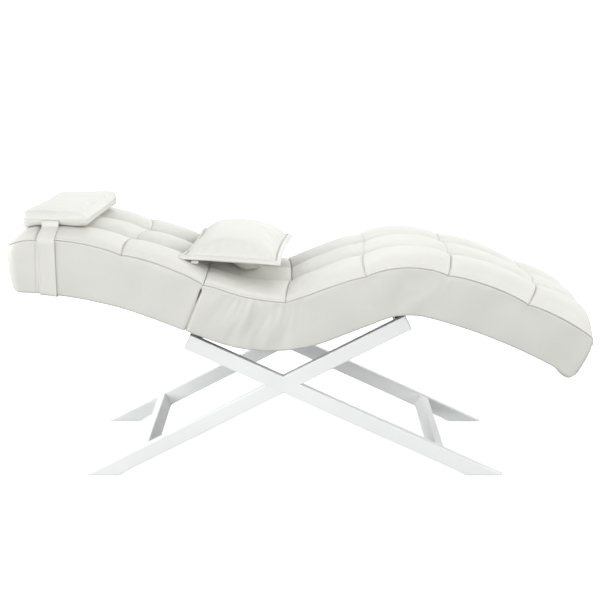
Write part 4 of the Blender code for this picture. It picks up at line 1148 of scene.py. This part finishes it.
def over_ridge(x):
    """World height of a taut sheet over the ridge, which clears it on the way off the head end."""
    places, heights = RIDGE
    x = np.array(x, float)
    highest = np.zeros(x.shape)
    for left, left_height in zip(places, heights):
        slid = left_height - (x - left) * tan(PILLOW_SLIDE)
        highest = np.where(left <= x, np.maximum(highest, slid), highest)
        for right, right_height in zip(places, heights):
            if right > left:
                chord = left_height + (right_height - left_height) * (x - left) / (right - left)
                inside = (left <= x) & (x <= right)
                highest = np.where(inside, np.maximum(highest, chord), highest)
    return highest + PILLOW_CLEARANCE


PILLOW_BASE = float(over_ridge(PILLOW_X))


def pillow_plan(inset, turns, row, column, lean=0.0, tuck=0.0):
    """Plan points of one ring or grid of the pillow, its foot side drawn in by a lean above its seam."""
    half_length = PILLOW_LENGTH / 2 - inset
    half_width = PILLOW_WIDTH / 2 - inset - tuck
    bend = np.maximum(PILLOW_CORNER - inset, PILLOW_LEAST_CORNER)
    x = np.sign(row) * (np.abs(row) * (half_length - bend) + bend * np.sin(turns))
    y = column * (half_width - bend + bend * np.cos(turns))
    ends = unit(np.abs(x) / half_length) ** PILLOW_END_POWER
    x = x - np.where(x < 0.0, PILLOW_BOW, PILLOW_WAIST) * swell((column + 1.0) / 2) * ends
    x = x - PILLOW_LEAN * lean * unit(x / half_length) * (PILLOW_LEAN_SHARE - PILLOW_LEAN_SKEW * column)
    x = x - PILLOW_EAR * unit(-x / half_length) ** 3 * unit(-column) ** 2
    return x, y


def pillow_lift(x, y):
    """How far the stuffing lifts the pillow's top at two opposite corners and along its head side."""
    along = np.clip(x / (PILLOW_LENGTH / 2), -1.0, 1.0)
    across = np.clip(y / (PILLOW_WIDTH / 2), -1.0, 1.0)
    at_corners = PILLOW_LIFT * np.maximum(0.0, along * across)
    return at_corners + PILLOW_HEAD_RISE * np.maximum(0.0, -along) * (1.0 - across ** 2)


def pillow_lines():
    """Lines along the pillow, as shares of its straight part and turns round its corners."""
    turns = np.linspace(0.0, pi / 2, PILLOW_TURNS + 1)[1:]
    rows = np.linspace(-1.0, 1.0, PILLOW_ROWS)
    row = np.concatenate((-np.ones(len(turns)), rows, np.ones(len(turns))))
    turn = np.concatenate((turns[::-1], np.zeros(len(rows)), turns))
    column = np.sin(np.linspace(-pi / 2, pi / 2, PILLOW_COLUMNS) * PILLOW_PACKING)
    return row, turn, column / sin(pi / 2 * PILLOW_PACKING)


def pillow_rings():
    """Inset, tuck of the two ends and height of each ring down the pillow's sides, with its sewn edge."""
    rings = []
    for step in range(1, PILLOW_TURNS + 1):
        turn = pi / 2 * step / PILLOW_TURNS
        rings.append((PILLOW_ROUND * (1.0 - sin(turn)), 0.0, PILLOW_BODY - PILLOW_ROUND * (1.0 - cos(turn))))
    rings += [(inset, 0.0, STRAP_SEAT + rise) for inset, rise in PILLOW_SEAM]
    for step in range(PILLOW_TURNS):
        turn = pi / 2 * step / PILLOW_TURNS
        level = PILLOW_UNDER_ROUND * (1.0 - sin(turn))
        tuck = PILLOW_TUCK * (1.0 - level / STRAP_SEAT)
        rings.append((PILLOW_UNDER_ROUND * (1.0 - cos(turn)) + PILLOW_UNDER_INSET, tuck, level))
    return rings


def place_pillow(x, y, height, low):
    """World points of the pillow. Its lower part follows the pad and its upper part stays level."""
    turn = np.array(Matrix.Rotation(PILLOW_YAW, 2))
    world_x = PILLOW_X + turn[0, 0] * x + turn[0, 1] * y
    world_y = turn[1, 0] * x + turn[1, 1] * y
    gap = PILLOW_GAP * smooth_step(x / (PILLOW_LENGTH / 2), *PILLOW_GAP_RANGE)
    bed = over_ridge(world_x) + gap * low
    return np.stack((world_x, world_y, height + bed + (PILLOW_BASE - bed) * (1.0 - low)), -1)


def make_pillow():
    """Head pillow: a stuffed top sewn at a low seam to a flatter underside that follows the pad."""
    row, turn, column = pillow_lines()
    rows, columns = len(row), len(column)
    row_grid, column_grid = flat_grid(row, column)
    turn_grid = np.repeat(turn, columns)
    x, y = pillow_plan(PILLOW_ROUND, turn_grid, row_grid, column_grid, 1.0)
    across = unit(np.abs(y) / (PILLOW_WIDTH / 2)) ** PILLOW_CROWN_POWER
    along = unit(np.abs(x) / (PILLOW_LENGTH / 2)) ** PILLOW_CROWN_POWER
    height = PILLOW_BODY + PILLOW_CROWN * (1.0 - across) * (1.0 - along)
    height = height + PILLOW_UNEVEN * ripples(x, y, PILLOW_UNEVEN_SCALE, seed=41)
    top = place_pillow(x, y, height + pillow_lift(x, y), 0.0)
    edge = boundary_of(rows, columns)
    corner = np.hypot(np.maximum(0.0, PILLOW_LENGTH / 2 - np.abs(x[edge])) * PILLOW_GATHER_SQUASH,
                      np.maximum(0.0, PILLOW_WIDTH / 2 - np.abs(y[edge])))
    creases = np.sin((x[edge] + y[edge]) / PILLOW_GATHER_RUN) * bell(corner, PILLOW_GATHER_REACH)
    walls = []
    rings = pillow_rings()
    for inset, tuck, level in rings:
        gathers = creases * bell(level - STRAP_SEAT, PILLOW_GATHER_HEIGHT)
        lean = unit((level - STRAP_SEAT) / (PILLOW_BODY - STRAP_SEAT))
        side_x, side_y = pillow_plan(inset + PILLOW_GATHER * gathers, turn_grid[edge], row_grid[edge],
                                     column_grid[edge], lean, tuck)
        low = 1.0 - smooth_step(level, PILLOW_SEAT, STRAP_SEAT)
        walls.append(place_pillow(side_x, side_y, level + lean * pillow_lift(side_x, side_y), low))
    faces, inner = shell_faces(rows, columns, len(walls))
    inset, tuck, level = rings[-1]
    under_x, under_y = pillow_plan(inset, turn_grid[inner], row_grid[inner], column_grid[inner], tuck=tuck)
    under = place_pillow(under_x, under_y, np.zeros(under_x.shape), 1.0)
    pillow = add_object("pillow_body", np.concatenate([top] + walls + [under]), faces, PILLOW_LEATHER)
    seam = len(top) + len(edge) * (PILLOW_TURNS + 1)
    inflate(pillow, range(seam, len(pillow.data.vertices)), *PILLOW_STUFFING)
    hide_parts("head_pillow")
    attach(pillow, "pillow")


def strap_path(x, share):
    """Places across and heights of the strap's inner face in one plane, from its left end to its right."""
    under = on_pad(np.linspace(0.0, STRAP_SEARCH, STRAP_SEARCH_COUNT), 0.0, 0.0)
    low = np.interp(x, under[:, 0], under[:, 2]) - STRAP_UNDER_CLEARANCE
    flank = HALF_WIDTH + STRAP_FLANK
    turns = np.linspace(0.0, pi / 2, STRAP_TURN_STEPS + 1)[1:]
    halves = []
    for side in (1.0, -1.0):
        skew = side * sin(PILLOW_YAW) * (x - PILLOW_X)
        end = (PILLOW_WIDTH / 2 + skew) / cos(PILLOW_YAW) + STRAP_PILLOW_GAP
        slack = STRAP_SLACK * smooth_step(share, *STRAP_SLACK_RANGE) if side < 0 else 0.0
        over = np.linspace(end + STRAP_SHOULDER_START, HALF_WIDTH - STRAP_SHOULDER_END, STRAP_SHOULDER_ROWS)
        shoulder = pad_top(x, side * over) + STRAP_CLEARANCE
        points = [(end, PILLOW_BASE + STRAP_SEAT)]
        points.append((end + STRAP_BEND_REACH, PILLOW_BASE + STRAP_SEAT * STRAP_BEND_SHARE))
        points += list(zip(over, shoulder))
        levels = np.linspace(shoulder[-1] - STRAP_SIDE_DROP, low + STRAP_TURN, STRAP_SIDE_ROWS)
        points += [(flank + slack, level) for level in levels]
        points += [(flank + slack - STRAP_TURN * (1.0 - cos(turn)), low + STRAP_TURN * (1.0 - sin(turn)))
                   for turn in turns]
        points += [(place, low) for place in np.linspace(flank - STRAP_UNDER_INSET, 0.0, STRAP_UNDER_ROWS)]
        halves.append([(side * place, level) for place, level in points])
    return halves[0] + halves[1][-2::-1]


def smoothed(values, passes=3):
    """Polyline with its corners eased and its ends kept."""
    values = np.array(values, float)
    for _ in range(passes):
        values[1:-1] = 0.25 * values[:-2] + 0.5 * values[1:-1] + 0.25 * values[2:]
    return values


def make_strap():
    """Strap from one end of the pillow, round under the pad, to the other end, hemmed along both edges."""
    lines = STRAP_X + STRAP_SHARES * STRAP_WIDTH
    hem = np.abs(STRAP_SHARES) * STRAP_WIDTH
    rise = STRAP_THICKNESS * (1.0 - STRAP_EDGE_THIN * bell(hem - 0.5 * STRAP_WIDTH, STRAP_EDGE_SPREAD))
    rise = rise + HEM_RISE * smooth_step(hem, *HEM_RANGE)
    rise = rise - HEM_SEAM_DEPTH * bell(hem - HEM_SEAM, HEM_SEAM_SPREAD)
    routes = np.array([smoothed(strap_path(line, share)) for line, share in zip(lines, STRAP_SHARES)])
    run = np.gradient(routes, axis=1)
    run /= np.linalg.norm(run, axis=2, keepdims=True)
    normal = np.stack((-run[..., 1], run[..., 0]), -1)
    outer = routes + normal * rise[:, None, None]
    places = np.repeat(lines[:, None, None], routes.shape[1], axis=1)
    grid = np.arange(places.size).reshape(places.shape[:2])
    faces = grid_faces(grid) + [face[::-1] for face in grid_faces(grid + grid.size)]
    edge = boundary_of(*grid.shape)
    for here, there in zip(edge, np.roll(edge, -1)):
        faces.append((here, here + grid.size, there + grid.size, there))
    points = np.concatenate([np.concatenate((places, sheet), -1).reshape(-1, 3) for sheet in (outer, routes)])
    strap = add_object("strap_band", points, faces, STRAP_LEATHER)
    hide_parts("pillow_strap")
    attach(strap, "pillow")
    proud = np.concatenate((places, outer + normal * THREAD_PROUD), -1)
    sew("strap_stitches", [proud[column] for column in HEM_COLUMNS], HEM_STITCH_PITCH, "pillow",
        HEM_STITCH_LENGTH, HEM_STITCH_RADIUS)


make_pillow()
make_strap()


# Lumbar cushion


CUSHION_PLACE = Matrix.Translation((CUSHION_X, 0.0, float(pad_top(CUSHION_X, 0.0)) + CUSHION_LIFT))
CUSHION_PLACE = CUSHION_PLACE @ Euler((0.0, CUSHION_TILT, CUSHION_YAW)).to_matrix().to_4x4()


def cushion_world(points):
    """World places of points in the cushion's own frame."""
    matrix = np.array(CUSHION_PLACE)
    return points @ matrix[:3, :3].T + matrix[:3, 3]


def cushion_lines(length):
    """Lines from edge to edge of the cushion, packed along its flange."""
    half = length / 2
    seam = CUSHION_FLANGE / half
    steps = np.linspace(0.0, pi / 2, int(half / CUSHION_STEP))
    inner = np.sin(steps * CUSHION_PACKING) / sin(pi / 2 * CUSHION_PACKING) * (1.0 - seam)
    positive = np.concatenate((inner[1:], 1.0 - seam * FLANGE_LINES))
    return np.concatenate((-positive[::-1], (0.0,), positive))


def cushion_gathers(x, y, to_side, to_end):
    """Gathers of the skin that run in from the cushion's seam and fade, none on the seam itself."""
    at_side = waves(x, x, y * GATHER_STRETCH, *SIDE_GATHER_WAVES) * np.exp(-to_side / SIDE_GATHER_FADE)
    at_end = waves(y, x * GATHER_STRETCH, y, *END_GATHER_WAVES) * np.exp(-to_end / END_GATHER_FADE)
    sewn = smooth_step(to_side, 0.0, GATHER_SEWN) * smooth_step(to_end, 0.0, GATHER_SEWN)
    return GATHER * sewn * (at_side + END_GATHER * at_end)


def cushion_skin(along, across, top):
    """Points of the cushion's skin, with gathers along its seam and a soft waver in its flange."""
    half_length, half_width = CUSHION_LENGTH / 2, CUSHION_WIDTH / 2
    seam_length, seam_width = 1.0 - CUSHION_FLANGE / half_length, 1.0 - CUSHION_FLANGE / half_width
    x = half_length * along * (1.0 - CUSHION_PINCH * (1.0 - across ** 2))
    y = half_width * across * (1.0 - CUSHION_PINCH * (1.0 - along ** 2))
    seam_along = np.minimum(1.0, np.abs(along) / seam_length)
    seam_across = np.minimum(1.0, np.abs(across) / seam_width)
    edge = np.minimum((1.0 - np.abs(along)) * half_length, (1.0 - np.abs(across)) * half_width)
    flange = FLANGE_RISE * smooth_step(edge, 0.0, FLANGE_RISE_SHARE * CUSHION_FLANGE)
    sewing = FLANGE_SEAM * bell(edge - FLANGE_SEAM_SHARE * CUSHION_FLANGE, FLANGE_SEAM_SPREAD)
    gathers = cushion_gathers(x, y, (1.0 - seam_across) * half_width, (1.0 - seam_along) * half_length)
    rim = CUSHION_RIM / 2
    if top:
        stuffed = ((1.0 - seam_along ** 2) * (1.0 - seam_across ** 2)) ** CUSHION_FULLNESS
        rise = flange + (CUSHION_TOP - FLANGE_RISE) * stuffed * CUSHION_START
        puff_place = edge - FLANGE_PUFF_SHARE * CUSHION_FLANGE
        skin = gathers + rim + FLANGE_PUFF * bell(puff_place, FLANGE_PUFF_SPREAD * CUSHION_FLANGE) - sewing
    else:
        shifted = np.minimum(1.0, np.abs(along - CUSHION_BELLY * (1.0 - along ** 2)) / seam_length)
        belly = ((1.0 - shifted ** 2) * (1.0 - seam_across ** 2)) ** CUSHION_FULLNESS
        toward_foot = smooth_step(along, *CUSHION_UNDER_RANGE)
        under = CUSHION_UNDER + (CUSHION_UNDER_FOOT - CUSHION_UNDER) * toward_foot
        rise = flange - (CUSHION_BOTTOM + FLANGE_RISE) * belly ** under
        skin = GATHER_BELOW * gathers - rim - FLANGE_SEAM_BELOW * sewing
    return np.stack((x, y, rise + skin), -1)


def make_cushion():
    """Loose knife-edge cushion with a stitched flange, pressed flat where it lies on the pad."""
    along, across = cushion_lines(CUSHION_LENGTH), cushion_lines(CUSHION_WIDTH)
    along_grid, across_grid = flat_grid(along, across)
    upper = cushion_world(cushion_skin(along_grid, across_grid, True))
    lower = cushion_world(cushion_skin(along_grid, across_grid, False))
    floor = pad_top(lower[:, 0], lower[:, 1]) + CUSHION_CLEARANCE
    resting = lower[:, 2] < floor
    lower[:, 2] = np.maximum(lower[:, 2], floor)
    upper[:, 2] = np.maximum(upper[:, 2], lower[:, 2] + CUSHION_PRESSED)
    edge = boundary_of(len(along), len(across))
    middle = (upper[edge] + lower[edge]) / 2
    out = middle - middle.mean(axis=0)
    out /= np.linalg.norm(out, axis=1, keepdims=True)
    rim = middle + out * CUSHION_RIM_ROUND
    faces, inner = shell_faces(len(along), len(across), 2)
    points = np.concatenate((upper, rim, lower[edge], lower[inner]))
    cushion = add_object("cushion_body", points, faces, CUSHION_LEATHER)
    in_flange = np.abs(along_grid) > 1.0 - CUSHION_FLANGE / (CUSHION_LENGTH / 2) - TOLERANCE
    in_flange |= np.abs(across_grid) > 1.0 - CUSHION_FLANGE / (CUSHION_WIDTH / 2) - TOLERANCE
    underside = len(upper) + 2 * len(edge)
    pinned = list(np.flatnonzero(in_flange)) + list(range(len(upper), underside))
    pinned += list(underside + np.flatnonzero((in_flange | resting)[inner]))
    inflate(cushion, pinned, *CUSHION_STUFFING)
    settled = vertex_array(cushion.data)
    below = settled[underside:]
    floor = pad_top(below[:, 0], below[:, 1]) + CUSHION_CLEARANCE
    below[:, 2] = np.maximum(below[:, 2], floor)
    move_vertices(cushion.data, settled)
    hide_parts("lumbar_cushion")
    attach(cushion, "cushion")


def make_flange_stitches():
    """Stitching round the cushion just outside its stuffing."""
    at_end = 1.0 - FLANGE_STITCH_SHARE * CUSHION_FLANGE / (CUSHION_LENGTH / 2)
    at_side = 1.0 - FLANGE_STITCH_SHARE * CUSHION_FLANGE / (CUSHION_WIDTH / 2)
    sweep = np.linspace(-1.0, 1.0, FLANGE_SAMPLES)
    still = np.ones(FLANGE_SAMPLES)
    sides = [(sweep * at_end, still * way * at_side) for way in (-1.0, 1.0)]
    ends = [(still * way * at_end, sweep * at_side) for way in (-1.0, 1.0)]
    proud = np.array((0.0, 0.0, THREAD_PROUD))
    paths = [cushion_world(cushion_skin(along, across, True) + proud) for along, across in sides + ends]
    sew("cushion_stitches", paths, FLANGE_STITCH_PITCH, "cushion")


make_cushion()
make_flange_stitches()


# Weld beads of the frame


def weld_ring(name, outline, normal):
    """Rippled bead along a closed outline."""
    at, way = spaced_along(np.concatenate((outline, outline[:1])), WELD_STEP)
    way /= np.linalg.norm(way, axis=1, keepdims=True)
    out = np.cross(way, normal)[:, None]
    turns = (2 * pi * np.arange(WELD_SIDES) / WELD_SIDES)[:, None]
    girth = WELD_RADIUS * (1.0 + WELD_RIPPLE * np.sin(np.arange(len(at)) * WELD_RIPPLE_TURN))
    points = at[:, None] + girth[:, None, None] * (np.cos(turns) * out + np.sin(turns) * np.asarray(normal))
    rings = np.arange(len(at) * WELD_SIDES).reshape(len(at), WELD_SIDES)
    faces = tube_faces(np.concatenate((rings, rings[:1])))
    bead = add_object(name, points.reshape(-1, 3), faces, COAT)
    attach(bead, "bed")


def hull_order(points, digits=5):
    """Outline of points in a plane, in order, as their hull."""
    flat = sorted({(round(float(x), digits), round(float(y), digits)) for x, y in points})
    chains = []
    for ordered in (flat, flat[::-1]):
        chain = []
        for spot in ordered:
            while len(chain) > 1 and turn_of(chain[-2], chain[-1], spot) <= 0.0:
                chain.pop()
            chain.append(spot)
        chains.append(chain[:-1])
    return chains[0] + chains[1]


def turn_of(first, second, third):
    """Twice the signed area of a triangle."""
    return (second[0] - first[0]) * (third[1] - first[1]) - (second[1] - first[1]) * (third[0] - first[0])


def make_welds():
    """Beads where the cross tubes meet the trestles."""
    for node in ("head_stretcher", "foot_stretcher", "head_rail", "knee_rail"):
        points = vertex_array(NODES[node].data)
        for hand, end in (("right", points[:, 1].min()), ("left", points[:, 1].max())):
            rim = points[np.abs(points[:, 1] - end) < RIM_DEPTH]
            outline = hull_order(rim @ SIDE_VIEW)
            weld_ring(f"{node}_weld_{hand}", [(x, end, z) for x, z in outline], (0.0, 1.0, 0.0))


def make_joints():
    """Ground welds that close each half bar flush against its trestle's through bar."""
    for hand in ("right", "left"):
        through = vertex_array(NODES[hand + "_long_bar"].data) @ SIDE_VIEW
        centre = through.mean(axis=0)
        along = np.linalg.svd(through - centre, full_matrices=False)[2][0]
        square = np.array((-along[1], along[0]))
        half_depth = np.abs((through - centre) @ square).max()
        for half in ("upper", "lower"):
            points = vertex_array(NODES[f"{hand}_{half}_bar"].data)
            reach = (points @ SIDE_VIEW - centre) @ square
            nearest_reach = np.abs(reach).min()
            side = np.sign(reach.mean())
            rim = points[np.abs(reach) < nearest_reach + RIM_DEPTH]
            spread = (rim @ SIDE_VIEW - centre) @ along
            flank = side * (nearest_reach + JOINT_LAP)
            edge = side * (half_depth - JOINT_WIDTH)
            profile = ((flank, -JOINT_PROUD), (edge, -JOINT_PROUD), (edge, JOINT_WIDTH), (flank, JOINT_WIDTH))
            corners, faces = [], []
            for face, inward in ((points[:, 1].min(), 1.0), (points[:, 1].max(), -1.0)):
                faces += [tuple(len(corners) + corner for corner in loop) for loop in BOX_FACES]
                for place in (spread.min() + JOINT_INSET, spread.max() - JOINT_INSET):
                    for out, deep in profile:
                        x, z = centre + along * place + square * out
                        corners.append((x, face + inward * deep, z))
            joint = add_object(f"{hand}_{half}_joint", corners, faces, COAT, smooth=False)
            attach(joint, "bed")


make_welds()
make_joints()


# Camera, light and floor


def make_camera():
    """Camera at the photographed angle."""
    data = bpy.data.cameras.new("camera")
    data.lens = CAMERA_LENS
    data.sensor_width = SENSOR
    camera = bpy.data.objects.new("camera", data)
    camera.location = CAMERA_PLACE
    camera.rotation_euler = (CAMERA_TILT, 0.0, 0.0)
    bpy.context.scene.collection.objects.link(camera)
    bpy.context.scene.camera = camera


def make_area(name, place, aim, size, power):
    """Soft rectangular light that faces a point."""
    data = bpy.data.lights.new(name, "AREA")
    data.shape = "RECTANGLE"
    data.size, data.size_y = size
    data.energy = power
    light = bpy.data.objects.new(name, data)
    light.location = place
    light.rotation_euler = (Vector(aim) - Vector(place)).to_track_quat("-Z", "Y").to_euler()
    bpy.context.scene.collection.objects.link(light)


def make_floor():
    """Pale floor that curves up into a backdrop."""
    profile = [(FLOOR_FRONT, 0.0), (FLOOR_BACK, 0.0)]
    profile += [(FLOOR_BACK + FLOOR_BEND * sin(turn), FLOOR_BEND - FLOOR_BEND * cos(turn))
                for turn in FLOOR_TURNS]
    profile.append((FLOOR_BACK + FLOOR_BEND, FLOOR_TOP))
    points = [(x, y, z) for y, z in profile for x in (-FLOOR_HALF_WIDTH, FLOOR_HALF_WIDTH)]
    faces = [(2 * i, 2 * i + 1, 2 * i + 3, 2 * i + 2) for i in range(len(profile) - 1)]
    material, nodes, place = new_material("floor")
    cloud = nodes.noise(Scale=1.5, Detail=2.0, Vector=place)
    tone = nodes.ramp(cloud, ((0.3, grey(0.93)), (0.7, grey(0.95))))
    nodes.finish(Base_Color=tone, Roughness=0.9, Specular_IOR_Level=0.1, Emission_Color=WHITE,
                 Emission_Strength=0.48)
    floor = add_object("floor", points, faces, material)
    floor.visible_diffuse = False
    floor.visible_glossy = False


def make_light():
    """Light tent, brightest a little above the horizon, with a white backdrop, and five soft lights."""
    world = bpy.data.worlds.new("studio")
    nodes = Nodes(world)
    way = nodes.add("TexCoord").outputs["Generated"]
    height = nodes.add("SeparateXYZ", Vector=way).outputs["Z"]
    spread = nodes.add("MapRange", From_Min=-1.0, Value=height).outputs["Result"]
    shade = nodes.ramp(spread, [(place, grey(value)) for place, value in TENT_STOPS])
    tent = nodes.fill(nodes.tree.nodes["Background"], Color=shade, Strength=TENT_STRENGTH)
    backdrop = nodes.add("Background", Color=WHITE)
    seen = nodes.add("MixShader", Fac=nodes.add("LightPath").outputs["Is Camera Ray"])
    for socket, source in zip(seen.inputs[1:], (tent, backdrop)):
        nodes.tree.links.new(source.outputs["Background"], socket)
    nodes.fill(nodes.tree.nodes["World Output"], Surface=seen.outputs["Shader"])
    bpy.context.scene.world = world
    for name, settings in LIGHTS.items():
        make_area(name, *settings)
    bpy.context.scene.view_settings.view_transform = "Standard"


make_camera()
make_light()
make_floor()

FINISHES = {"powder_coat": COAT, "plastic": PLASTIC, "steel": STEEL, "plywood": WOOD, "leatherette": LEATHER,
            "cloth": CLOTH, "elastic": LEATHER}
for row in frame["record"]["subparts"]:
    finish = FINISHES.get(row["material_slot"])
    if finish is not None:
        for slot in NODES[row["node"]].material_slots:
            slot.material = finish
for slot in NODES["zip_tape"].material_slots:
    slot.material = TAPE
